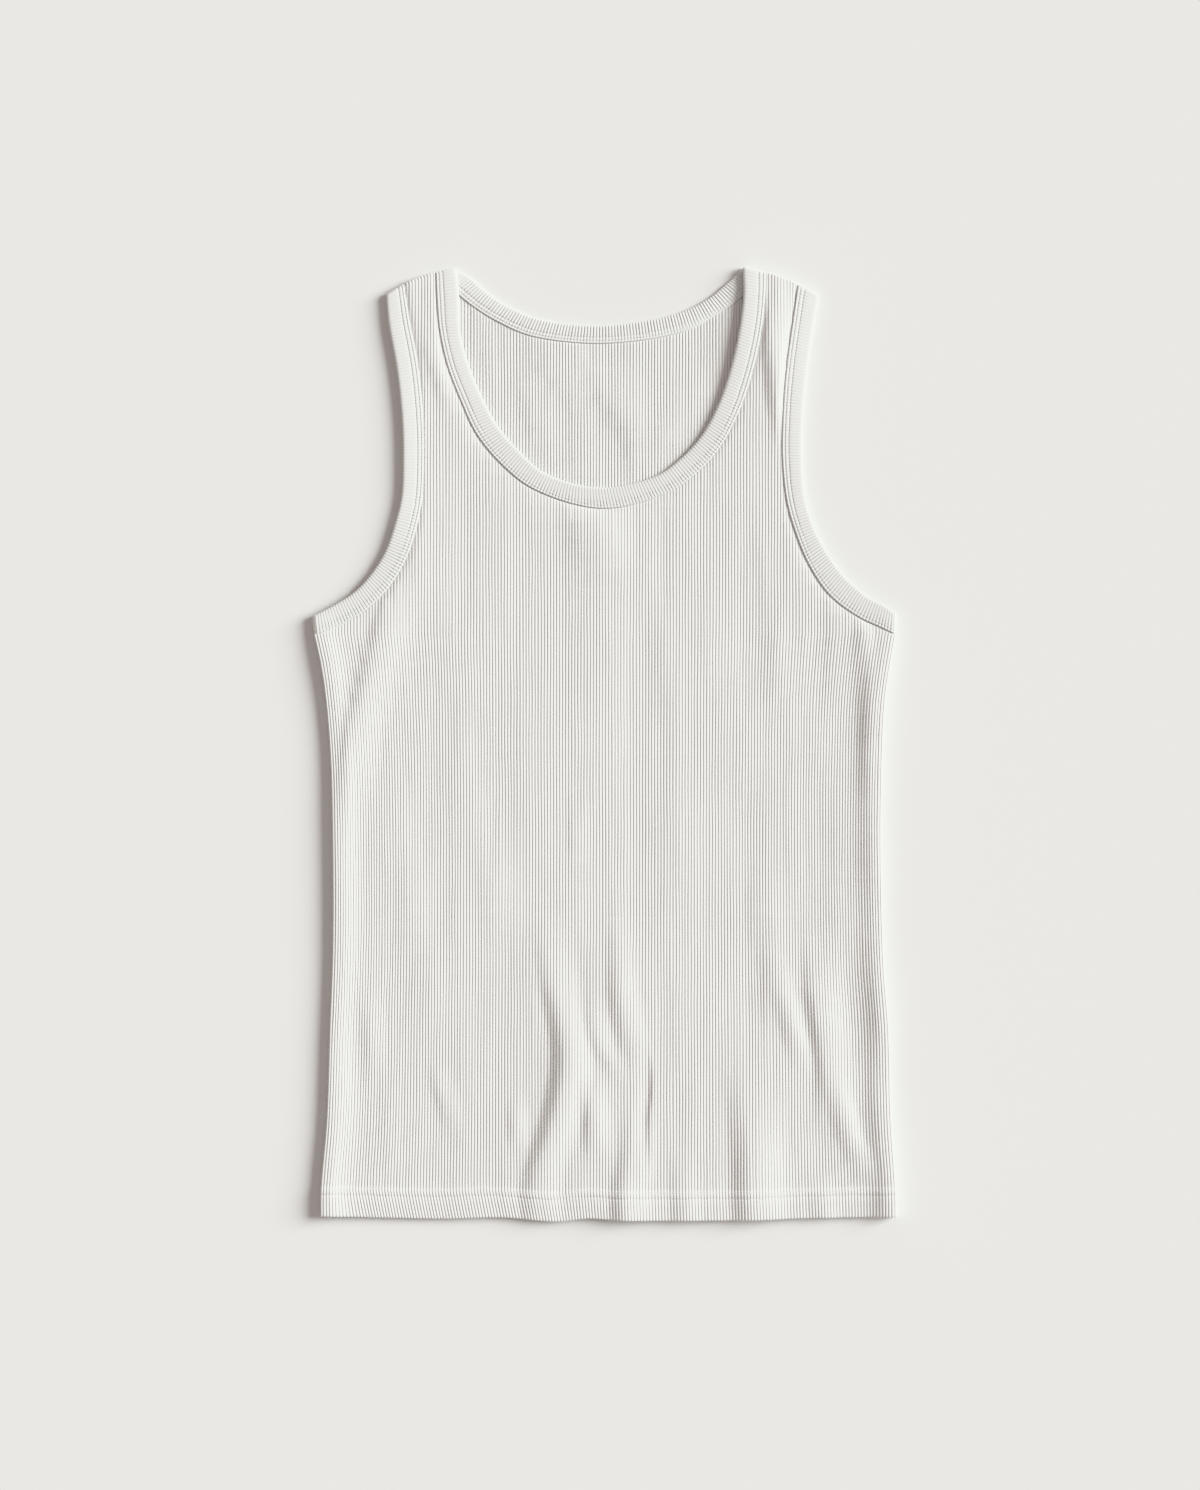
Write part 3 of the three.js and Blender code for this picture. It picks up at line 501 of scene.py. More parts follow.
def make_piece(name, places, faces, uv, material):
    """A smooth mesh from places in millimetres, with a pattern place for each of its points."""
    mesh = bpy.data.meshes.new(name)
    mesh.from_pydata(in_metres(places), [], faces)
    layer = mesh.uv_layers.new(name="knit")
    corner = np.empty(len(mesh.loops), int)
    mesh.loops.foreach_get("vertex_index", corner)
    layer.data.foreach_set("uv", np.asarray(uv, np.float32)[corner].ravel())
    mesh.polygons.foreach_set("use_smooth", np.ones(len(mesh.polygons), bool))
    mesh.materials.append(material)
    piece = bpy.data.objects.new(name, mesh)
    bpy.context.scene.collection.objects.link(piece)
    return piece


def shell(name, outer, inner, flip, uv_layers, material):
    """A closed wall between two layers, each given as places and faces that face up."""
    (outer_places, outer_faces), (inner_places, inner_faces) = outer, inner
    places = np.vstack([outer_places, inner_places])
    moved = [tuple(k + len(outer_places) for k in face) for face in inner_faces]
    loops = [border_loop(outer_faces), border_loop(moved)]
    near = places[loops[0][0]]
    start = min(range(len(loops[1])), key=lambda k: np.linalg.norm(places[loops[1][k]] - near))
    loops[1] = loops[1][start:] + loops[1][:start]
    faces = [*outer_faces, *(face[::-1] for face in moved), *rim(*loops, places)]
    if flip:
        faces = [face[::-1] for face in faces]
    return make_piece(name, places, faces, np.vstack(uv_layers), material)


STRAP_SHADE = 0.3  # what is left of the painted valley shade where a band is stretched


def math_node(tree, operation, *values):
    """One node of arithmetic, on numbers and on what other nodes give."""
    node = tree.nodes.new("ShaderNodeMath")
    node.operation = operation
    for socket, value in zip(node.inputs, values):
        if isinstance(value, bpy.types.NodeSocket):
            tree.links.new(value, socket)
        else:
            socket.default_value = value
    return node.outputs[0]


def knit_material(name, ridge, valley, stretched=None):
    """White rib knit: rows of small loops along each rib, a soft nap, and painted shade in the
    valleys, stronger in some random patches.

    The painted valley shade fades between the two heights of a stretched band.
    """
    material = bpy.data.materials.new(name)
    material.use_nodes = True
    tree = material.node_tree
    nodes, links = tree.nodes, tree.links

    uv = nodes.new("ShaderNodeUVMap")
    uv.uv_map = "knit"
    split = nodes.new("ShaderNodeSeparateXYZ")
    links.new(uv.outputs["UV"], split.inputs[0])
    in_rib = math_node(tree, "FRACT", split.outputs["X"])
    from_middle = math_node(tree, "ABSOLUTE", math_node(tree, "SUBTRACT", in_rib, 0.5))
    from_ridge = math_node(tree, "MULTIPLY", from_middle, 2)
    slant = math_node(tree, "MULTIPLY", from_ridge, 0.6)
    in_loop = math_node(tree, "FRACT", math_node(tree, "ADD", split.outputs["Y"], slant))
    loop_rise = math_node(tree, "ABSOLUTE", math_node(tree, "SUBTRACT", in_loop, 0.5))

    place = nodes.new("ShaderNodeTexCoord").outputs["Object"]
    fuzz = nodes.new("ShaderNodeTexNoise")
    fuzz.inputs["Scale"].default_value = 2600
    fuzz.inputs["Detail"].default_value = 3
    links.new(place, fuzz.inputs["Vector"])
    patches = nodes.new("ShaderNodeTexNoise")
    patches.inputs["Scale"].default_value = 22
    patches.inputs["Detail"].default_value = 4
    links.new(place, patches.inputs["Vector"])

    # Painted shade: the colour darkens towards the valley colour in the rib valleys, by an amount that
    # changes in random patches.
    in_valley = nodes.new("ShaderNodeMapRange")
    in_valley.interpolation_type = "SMOOTHSTEP"
    in_valley.inputs["From Min"].default_value = 0.5
    in_valley.inputs["From Max"].default_value = 1.0
    links.new(from_ridge, in_valley.inputs["Value"])
    valley_shade_mottle = math_node(tree, "MULTIPLY_ADD", patches.outputs["Fac"], 0.5, -0.12)
    shade = math_node(tree, "MULTIPLY", in_valley.outputs["Result"],
                      math_node(tree, "ADD", valley_shade_mottle, 0.6))
    colour = nodes.new("ShaderNodeMix")
    colour.data_type = "RGBA"
    colour.inputs["A"].default_value = ridge
    colour.inputs["B"].default_value = valley
    if stretched:
        split_place = nodes.new("ShaderNodeSeparateXYZ")
        links.new(place, split_place.inputs[0])
        opened = nodes.new("ShaderNodeMapRange")
        opened.interpolation_type = "SMOOTHSTEP"
        opened.inputs["From Min"].default_value = stretched[0] * MM
        opened.inputs["From Max"].default_value = stretched[1] * MM
        opened.inputs["To Min"].default_value = 1
        opened.inputs["To Max"].default_value = STRAP_SHADE
        links.new(split_place.outputs["Y"], opened.inputs["Value"])
        shade = math_node(tree, "MULTIPLY", shade, opened.outputs["Result"])
    links.new(shade, colour.inputs["Factor"])

    relief = math_node(tree, "ADD", math_node(tree, "MULTIPLY", loop_rise, 1.2),
                       math_node(tree, "MULTIPLY", fuzz.outputs["Fac"], 0.6))
    bump = nodes.new("ShaderNodeBump")
    bump.inputs["Strength"].default_value = 0.35
    bump.inputs["Distance"].default_value = 0.00016
    links.new(relief, bump.inputs["Height"])

    cotton = nodes["Principled BSDF"]
    links.new(colour.outputs["Result"], cotton.inputs["Base Color"])
    links.new(bump.outputs["Normal"], cotton.inputs["Normal"])
    cotton.inputs["Roughness"].default_value = 0.92
    cotton.inputs["Specular IOR Level"].default_value = 0.2
    cotton.inputs["Sheen Weight"].default_value = 0.12
    cotton.inputs["Sheen Roughness"].default_value = 0.5
    return material


SEAM_REACH = 6  # beyond this and a seam's own extent, a point counts as far from it
FAR = 99.0


def seam_distance(x, y, lines):
    """How far each point of a panel lies from a band's sewn edge, below zero inside the band."""
    distance = np.full(x.shape, FAR)
    for free, sewn, _ in lines:
        line, toward = sewn[::3], (sewn - free)[::3]  # every third point is close enough
        low, high = line.min(0) - SEAM_REACH, line.max(0) + SEAM_REACH
        near = np.flatnonzero((x > low[0]) & (x < high[0]) & (y > low[1]) & (y < high[1]))
        for chunk in np.array_split(near, max(1, len(near) // 4000)):  # to save memory
            gap = np.stack([x[chunk], y[chunk]], 1)[:, None] - line[None]
            square = (gap**2).sum(2)
            best = square.argmin(1)
            rows = np.arange(len(chunk))
            sign = np.sign((gap[rows, best] * toward[best]).sum(1))
            distance[chunk] = np.minimum(distance[chunk], sign * np.sqrt(square[rows, best]))
    return distance


def hem_skew(x, y):
    """Below its sewing the hem has slipped sideways, most on the wearer's right."""
    below = np.clip(hem_y(x) + HEM_ROWS[0] - y, 0, HEM_ROWS[0])
    lessened = 1 - (1 - HEM_SLIP_LEFT) * smoothstep(x, *HEM_SLIP_LESSENS)
    slip = HEM_SLIP * smoothstep(x, *HEM_SLIP_STARTS) * lessened
    return slip * (1 - smoothstep(x, *HEM_SLIP_ENDS)) * below


def edge_rounding(x, y):
    """A share from nothing on the hem's folded edge to one at the cloth's full thickness."""
    share = np.clip((y - hem_y(x)) / HEM_ROUND, 0, 1)
    return np.sqrt(np.clip(1 - (1 - share) ** 2, 0, 1))


def sewn_hem(x, y):
    """The turned-up layer, pressed down by its two rows of sewing."""
    above = y - hem_y(x)
    layer = WALL * (1 - smoothstep(above, HEM_ROWS[0] + HEM_STEP[0], HEM_ROWS[0] + HEM_STEP[1]))
    rows = sum(np.exp(-(((above - row) / HEM_ROW_WIDTH) ** 2)) for row in HEM_ROWS)
    return layer - HEM_ROW_DEPTH * rows


OUTWARD = {
    SIDE_FOLD: {"right": (-1, 0), "left": (1, 0)},
    SHOULDER_FOLD: {side: (sign * math.sin(SHOULDER_SLOPE), math.cos(SHOULDER_SLOPE))
                    for side, sign in (("right", -1), ("left", 1))},
}
LEAST_HEIGHT = 0.03  # keeps the panels apart at the meeting line


def place_layer(points, height, reach, up, least=LEAST_HEIGHT):
    """Where a layer's points lie: at their height from the meeting line, rolled at the folds."""
    across, y, turn, fold = (points[k] for k in ("across", "y", "turn", "fold"))
    x = rib_x(across, y) + (hem_skew(across, y) + wander(across, y)) * (fold == 0)
    out = np.zeros((len(x), 2))
    for kind, sides in OUTWARD.items():
        for side, direction in sides.items():
            chosen = (fold == kind) & ((across < 0) == (side == "right"))
            out[chosen] = direction
    xy = np.stack([x, y], 1) + out * (reach * np.sin(turn) ** ROLL_FULLNESS)[:, None]
    z = MEETING_HEIGHT + up * np.maximum(least, height * np.maximum(0, np.cos(turn)) ** ROLL_FULLNESS)
    return np.column_stack([xy, z])


def rib_count(points):
    """How many ribs lie between a point and the right side fold, counted on round the folds."""
    round_side = np.where(points["fold"] == SIDE_FOLD, points["turn"] * ROLL, 0)
    return (points["across"] + np.sign(points["across"]) * round_side + ARMPIT_FOLD) / RIB_PITCH


def knit_uv(points):
    """The pattern place of each point: ribs across, and rows of loops up."""
    return np.stack([rib_count(points), points["y"] / LOOP_HEIGHT], 1)


# The rows of points: heights on the table, and steps in from the hem and from the other edges
FRONT_ROWS = [*np.arange(-338, -190, 6.5), *np.arange(-190, 84, 14), *np.arange(84, 350, 12)]
HEM_STEPS = (0.3, 0.9, 1.8, 6, 11, 15, 15.9, 16.6, 17.3, 18.4, 20.2, 20.9, 21.5, 22.1, 22.9, 25)
EDGE_STEPS = (0.5, 1.0, 1.6, 2.4, 4)
INNER_HEM_STEPS = (0.9, 6)
INNER_EDGE_STEPS = (2.4,)

FRONT_BASE = FRONT_UNDERSIDE - MEETING_HEIGHT
RESTING_LIFT = 0.42  # of the front, off its lowest height
HELD_FLAT = 6  # so far from a band the cloth lies flat
SEWN_THICKNESS = 0.55  # of the panel where a band holds it
SEWN_STEP = (-0.3, 1.4)  # from there to its full thickness, across the sewn edge
EDGE_WALL = 0.1  # how far over half its thickness the hem's folded edge starts
INNER_ROUND = 0.8  # how far the inner face rises towards the hem's folded edge

fine_columns = [-ARMPIT_FOLD + (k + s) * RIB_PITCH for k in range(RIB_COUNT) for s in RIB_SAMPLES]
fine_columns.append(ARMPIT_FOLD)
plain_columns = [-ARMPIT_FOLD + k * RIB_PITCH for k in range(RIB_COUNT + 1)]
# The cloth's own white on the ridges, and a greyer painted shade for the rib valleys.
ribbed_white = knit_material("rib_knit_cotton", (0.875, 0.89, 0.86, 1), (0.72, 0.7, 0.675, 1))
front_seams = [neck_front_lines, *armhole_lines.values()]


def front_lift(points):
    """How far the front's inner face lies above its lowest height."""
    x, y = rib_x(points["across"], points["y"]), points["y"]
    free = smoothstep(seam_distance(x, y, front_seams), 0, HELD_FLAT)
    folds = fold_height(x, y, FRONT_FOLDS) + slow_swell(x, y) + RESTING_LIFT
    return np.maximum(0, folds) * free + spring_height(x, y)


def front_face(points):
    """Places on the ribbed face of the front."""
    across, y = points["across"], points["y"]
    ribs = rib_height(rib_count(points), y)
    full = WALL + ribs + sewn_hem(across, y)
    sewn_in = smoothstep(seam_distance(rib_x(across, y), y, front_seams), *SEWN_STEP)
    thick = SEWN_THICKNESS + (full - SEWN_THICKNESS) * sewn_in
    thick = thick / 2 + EDGE_WALL + (thick / 2 - EDGE_WALL) * edge_rounding(across, y)
    return place_layer(points, FRONT_BASE + front_lift(points) + thick, ROLL + ribs / 2, 1)


front_points, front_faces = lay_panel(
    fine_columns, neck_front_lines, FRONT_ROWS, HEM_STEPS, EDGE_STEPS)
outer_front = front_face(front_points)
inner_points, inner_faces = lay_panel(
    plain_columns, neck_front_lines, FRONT_ROWS[::2], INNER_HEM_STEPS, INNER_EDGE_STEPS)
rounded = INNER_ROUND * (1 - edge_rounding(inner_points["across"], inner_points["y"]))
inner_height = FRONT_BASE + front_lift(inner_points) + rounded
inner_front = place_layer(inner_points, inner_height, np.full(len(rounded), FRONT_BASE), 1)

front_cloth = shell("front_cloth", (outer_front, front_faces), (inner_front, inner_faces), False,
                    [knit_uv(front_points), knit_uv(inner_points)], ribbed_white)
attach(front_cloth, "root")
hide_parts("front_panel")

# The back panel: the same knit, cut with a shallow neck. It lies flat on the table under the front,
# and its inner face shows in the neck, with a soft crease or two where it settled.
NECK_BACK = [
    (-114.3, 363.7, -130, 360.3), (-104, 359, -117.9, 349.5), (-90.1, 346.7, -100.2, 335.2),
    (-73.2, 335.9, -81.7, 324), (-50.1, 326.7, -55.5, 313.2), (-1.5, 321.7, -1.5, 307.8),
    (55.5, 330.9, 59.3, 316.7), (79, 342.1, 87.1, 330.9), (93.2, 353.7, 105.6, 343.6),
    (105.9, 364.8, 123.4, 360.5),
]
BACK_FOLDS = [
    ([(-18, 300), (-6, 279), (5, 262), (16, 246), (32, 210)], 16, 46, 1.8),
    ([(-54, 306), (-42, 288), (-30, 272), (-16, 244)], 12, 36, 0.8),
    ([(-62, 276), (-58, 256), (-50, 224)], 10, 30, 0.7),
    ([(68, 300), (72, 275), (74, 240)], 12, 30, 0.5),
]
BACK_ROWS = [*np.arange(-330, 84, 46), 84, 140, *np.arange(182, 350, 12)]
WINDOW = (118, 170)  # the part seen through the neck: half its width, and where it starts
WINDOW_HEM_STEPS = (0.9, 6, 15)
WINDOW_RIBS = 0.55
WINDOW_LIFT = 0.2
WINDOW_LEAST = -4  # the bared part may stand so far over the meeting line
BARED = (3, 22)  # its creases and swells start and are full so far inside the neck
UNDERSIDE_RIBS = 0.45
UNDERSIDE_SEWN = 0.3  # how much thinner the back is where a band holds it
SECOND_LAYER = 0.8 * WALL
neck_back_lines = band_lines(NECK_BACK)

back_points, back_faces = lay_panel(
    fine_columns, neck_back_lines, BACK_ROWS, HEM_STEPS[::2], EDGE_STEPS[::2])
ribs = rib_height(rib_count(back_points), back_points["y"], UNDERSIDE_RIBS)
back_x = rib_x(back_points["across"], back_points["y"])
back_seams = [neck_back_lines, *armhole_lines.values()]
sewn_in = smoothstep(seam_distance(back_x, back_points["y"], back_seams), *SEWN_STEP)
thick = np.minimum(MEETING_HEIGHT, MEETING_HEIGHT - UNDERSIDE_RIBS + ribs)
thick = thick - (1 - sewn_in) * UNDERSIDE_SEWN
outer_back = place_layer(back_points, thick, ROLL + ribs / 2, -1)

window_columns = sorted({*plain_columns, *(u for u in fine_columns if abs(u) < WINDOW[0])})
window_points, window_faces = lay_panel(
    window_columns, neck_back_lines, BACK_ROWS, WINDOW_HEM_STEPS, EDGE_STEPS)
window_x = rib_x(window_points["across"], window_points["y"])
in_window = (np.abs(window_points["across"]) < WINDOW[0]) & (window_points["y"] > WINDOW[1])
ribs = rib_height(rib_count(window_points), window_points["y"], WINDOW_RIBS) * in_window
sewn_in = smoothstep(seam_distance(window_x, window_points["y"], back_seams), *SEWN_STEP)
in_hem = window_points["y"] < hem_y(window_points["across"]) + HEM_DEPTH
hem_layer = np.where(in_hem, SECOND_LAYER, 0)
neck_edge = (neck_front_lines[1], neck_front_lines[0], 0)
bared = smoothstep(seam_distance(window_x, window_points["y"], [neck_edge]), *BARED) * in_window
settled = fold_height(window_x, window_points["y"], BACK_FOLDS)
settled = np.maximum(0, settled + slow_swell(window_x, window_points["y"]) + WINDOW_LIFT) * bared
depth = MEETING_HEIGHT - WALL - hem_layer - (ribs + settled) * sewn_in
inner_back = place_layer(window_points, depth, np.full(len(depth), MEETING_HEIGHT - WALL), -1,
                         np.where(in_window, WINDOW_LEAST, LEAST_HEIGHT))

back_cloth = shell("back_cloth", (outer_back, back_faces), (inner_back, window_faces), True,
                   [knit_uv(back_points), knit_uv(window_points)], ribbed_white)
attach(back_cloth, "root")
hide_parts("back_panel")

# The bindings: strips of finer rib folded over the raw edges of the neck and armholes, so that
# their ribs run across them. Two rows of sewing near the sewn edge leave a padded channel.
BAND_WIDTH = 16
BAND_MIDDLE = 2.35  # the height about which its two faces are folded
BAND_OUTER = 2.05
BAND_INNER = 0.15
BAND_RIBS = 1.0
BAND_UNEVENNESS = (0.15, (1, 1), 5)
CROWN = 0.22
CHANNEL = 0.1
PIPING = 0.16
ROW_DEPTH = 0.3
EDGE_DROP = 0.4
NECK_STRETCHED = (225, 275)  # the ribs, and their painted valley shade, fade over these heights into the straps
ARM_STRETCHED = (135, 195)
STRAP_RIBS = 0.2  # share of the ribs' height that is left there, and on the back of a band
BACK_RIBS = 0.7
RIBS_ROUND_FOLD = 2

# Places across a band are shares of the way from its free edge to its sewn edge
ACROSS = np.array([0, 0.012, 0.035, 0.07, 0.12, 0.2, 0.32, 0.45, 0.56, 0.62, 0.655, 0.675, 0.69,
                   0.705, 0.725, 0.76, 0.8, 0.835, 0.86, 0.875, 0.89, 0.91, 0.94, 0.97, 0.988, 1])
ROW_PLACES = (0.69, 0.875)  # of the two rows of sewing
ROW_WIDTH = 0.022
PIPING_PLACE = 0.945
PIPING_WIDTH = 0.035
DROP_FROM = 0.965
ROUNDED_TO = 0.12
RIB_STRENGTH = [(0, 0.5), (0.03, 1), (0.64, 1), (0.72, 0.6), (0.85, 0.6), (0.9, 0.3), (1, 0.2)]
PANEL_FROM = (0.95, 0.97)  # from here the face against the panel gives it room
PANEL_ROOM_FRONT = 0.62
PANEL_ROOM_BACK = 1.15
SEEN_BACK_RIBS = 0.8  # of the ribs' height, on the face of the back half that shows
HALF_WALL = 0.06  # of a band at its thinnest


def band_relief(ribs):
    """Height of a band's face over its plain thickness, at each rib place and place across it."""
    rows = sum(np.exp(-(((ACROSS - row) / ROW_WIDTH) ** 2)) for row in ROW_PLACES)
    crown = CROWN * np.sin(np.pi * np.clip(ACROSS / ROW_PLACES[0], 0, 1))
    channel = CHANNEL * np.sin(np.pi * np.clip(
        (ACROSS - ROW_PLACES[0]) / (ROW_PLACES[1] - ROW_PLACES[0]), 0, 1))
    piping = PIPING * np.exp(-(((ACROSS - PIPING_PLACE) / PIPING_WIDTH) ** 2))
    drop = EDGE_DROP * np.clip((ACROSS - DROP_FROM) / (1 - DROP_FROM), 0, 1) ** 2
    strength = np.interp(ACROSS, *zip(*RIB_STRENGTH))
    return crown + channel + piping - ROW_DEPTH * rows - drop + BAND_RIBS * strength * ribs


def band_half(lines, reverse):
    """Places along half a band with its ribs counted, from one fold to the other."""
    free, sewn, length = lines
    count = round(length / RIB_PITCH)
    along = np.array([k + s for k in range(count) for s in RIB_SAMPLES] + [count]) / count
    share = 1 - along if reverse else along
    steps = np.linspace(0, 1, len(free))
    free, sewn = (np.stack([np.interp(share, steps, line[:, k]) for k in (0, 1)], 1)
                  for line in (free, sewn))
    return free, sewn, along * count


RING_ROWS = ("free", "sewn", "outward", "turn", "ribs")


def band_ring(front, back, folds):
    """All places round a band: its edges, the way out at a fold, the turn and the rib count."""
    front_free, front_sewn, front_ribs = band_half(front, False)
    back_free, back_sewn, back_ribs = band_half(back, True)
    fold_ribs = np.array([k + s for k in range(RIBS_ROUND_FOLD) for s in RIB_SAMPLES][1:])
    angle = fold_ribs / RIBS_ROUND_FOLD * math.pi
    start = 0
    parts = []
    for free, sewn, ribs, turn, out in (
        (front_free, front_sewn, front_ribs, 0, None),
        (front_free[-1:], front_sewn[-1:], fold_ribs, angle, folds[1]),
        (back_free, back_sewn, back_ribs, math.pi, None),
        (front_free[:1], front_sewn[:1], fold_ribs, math.pi + angle, folds[0]),
    ):
        count = len(ribs)
        outward = np.zeros((count, 2)) if out is None else np.tile(out, (count, 1))
        parts.append((np.broadcast_to(free, (count, 2)), np.broadcast_to(sewn, (count, 2)), outward,
                      np.broadcast_to(turn, count), start + ribs))
        start += round(float(ribs[-1]) + (0 if out is None else 1 - RIB_SAMPLES[-1]))
    return {name: np.concatenate(rows) for name, rows in zip(RING_ROWS, zip(*parts))}


def band_points(ring, radius):
    """Places at a radius from the middle height of a band, for each place round and across it."""
    free, sewn, outward, turn = (ring[name] for name in RING_ROWS[:4])
    share = ACROSS[None, :, None]
    xy = free[:, None] * (1 - share) + sewn[:, None] * share
    on_front = (1 + np.cos(turn[:, None])) / 2
    z = BAND_MIDDLE + radius * np.cos(turn)[:, None] + on_front * spring_height(xy[..., 0], xy[..., 1])
    xy = xy + outward[:, None] * (radius * np.abs(np.sin(turn))[:, None])[:, :, None]
    return np.concatenate([xy, z[:, :, None]], 2)


def band_radii(ring, stretched):
    """Outer and inner radius of a band.

    It is round at its free edge. At its sewn edge it gives way to the panel, on its inner face on
    the front and on its outer face on the back.
    """
    count, on_front = ring["ribs"], (1 + np.cos(ring["turn"])) / 2
    uneven = 1 + random_change(np.floor(count), count * 0, BAND_UNEVENNESS)
    on_strap = smoothstep(ring["free"][:, 1], *stretched) * (np.cos(ring["turn"]) > 0)
    uneven = uneven * (1 + (STRAP_RIBS - 1) * on_strap) * (1 + (BACK_RIBS - 1) * (1 - on_front))
    ribs = (rib_profile(count) * uneven)[:, None]
    rounding = np.sqrt(1 - (1 - np.clip(ACROSS / ROUNDED_TO, 0, 1)) ** 2)[None]
    start, end = PANEL_FROM
    over_panel = np.clip((ACROSS - start) / (end - start), 0, 1)[None]
    front, back = on_front[:, None], 1 - on_front[:, None]
    outer = BAND_OUTER + band_relief(ribs)
    inner = BAND_INNER - band_relief(ribs) * back * SEEN_BACK_RIBS
    inner = inner + PANEL_ROOM_FRONT * over_panel * front
    outer = np.minimum(outer - PANEL_ROOM_BACK * over_panel * back, BAND_MIDDLE)
    middle = (BAND_OUTER + BAND_INNER) / 2
    outer = middle + HALF_WALL + (outer - middle - HALF_WALL) * rounding
    inner = middle - HALF_WALL + (inner - middle + HALF_WALL) * rounding
    return outer, inner


def make_band(name, node, front, back, folds, stretched, white):
    """A closed band all round one opening, in the place of its solid."""
    ring = band_ring(front, back, folds)
    outer, inner = band_radii(ring, stretched)
    places = np.concatenate([band_points(ring, outer), band_points(ring, inner)[:, ::-1]], 1)
    around, section = places.shape[:2]
    index = np.arange(around * section).reshape(around, section)
    ahead, beside = np.roll(index, -1, 0), np.roll(index, -1, 1)
    faces = np.stack([index, beside, np.roll(ahead, -1, 1), ahead], 2).reshape(-1, 4)
    loops_across = np.concatenate([ACROSS, ACROSS[::-1]]) * BAND_WIDTH / LOOP_HEIGHT
    uv = np.stack([np.repeat(ring["ribs"], section), np.tile(loops_across, around)], 1)
    band = make_piece(name, places.reshape(-1, 3), faces.tolist(), uv, white)
    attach(band, "root")
    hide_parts(node)
    return ring, outer, inner


shoulder_out = OUTWARD[SHOULDER_FOLD]
side_out = OUTWARD[SIDE_FOLD]
# The bands' own white on the ridges, and a dark painted shade for their rib valleys.
band_colours = (0.865, 0.88, 0.85, 1), (0.42, 0.41, 0.39, 1)
neck_white = knit_material("neck_rib_cotton", *band_colours, NECK_STRETCHED)
arm_white = knit_material("armhole_rib_cotton", *band_colours, ARM_STRETCHED)
neck_ring, neck_outer, neck_inner = make_band(
    "neck_band", "neck_binding", neck_front_lines, neck_back_lines,
    (shoulder_out["right"], shoulder_out["left"]), NECK_STRETCHED, neck_white)
arm_bands = {
    side: make_band(f"armhole_band_{side}", f"armhole_binding_{side}", armhole_lines[side],
                    armhole_lines[side], (shoulder_out[side], side_out[side]), ARM_STRETCHED,
                    arm_white)
    for side in ("right", "left")
}

# The sewing: two rows of needle stitches in white thread hold each band and the turned-up hem. On
# the bands a third thread covers the cut edge, to and fro between the rows.
STITCH_LENGTH = 2.05
HALF_SHOWN = 0.37  # of a stitch's length, the share that shows on each side of its middle
THREAD_RADIUS = 0.2
COVER_RADIUS = 0.13
THREAD_LIFT = 0.1
RIBS_BRIDGED = 6  # places along a seam that a tight thread averages
ROW_COLUMNS = [int(np.argmin(np.abs(ACROSS - place))) for place in ROW_PLACES]

thread_white = bpy.data.materials.new("sewing_thread")
thread_white.use_nodes = True
thread_nodes, thread_links = thread_white.node_tree.nodes, thread_white.node_tree.links
twist = thread_nodes.new("ShaderNodeTexNoise")
twist.inputs["Scale"].default_value = 5200
thread_links.new(thread_nodes.new("ShaderNodeTexCoord").outputs["Object"], twist.inputs["Vector"])
twist_bump = thread_nodes.new("ShaderNodeBump")
twist_bump.inputs["Strength"].default_value = 0.4
twist_bump.inputs["Distance"].default_value = 0.00008
thread_links.new(twist.outputs["Fac"], twist_bump.inputs["Height"])
thread_shader = thread_nodes["Principled BSDF"]
thread_links.new(twist_bump.outputs["Normal"], thread_shader.inputs["Normal"])
thread_shader.inputs["Base Color"].default_value = (0.87, 0.88, 0.86, 1)
thread_shader.inputs["Roughness"].default_value = 0.6
thread_shader.inputs["Sheen Weight"].default_value = 0.1


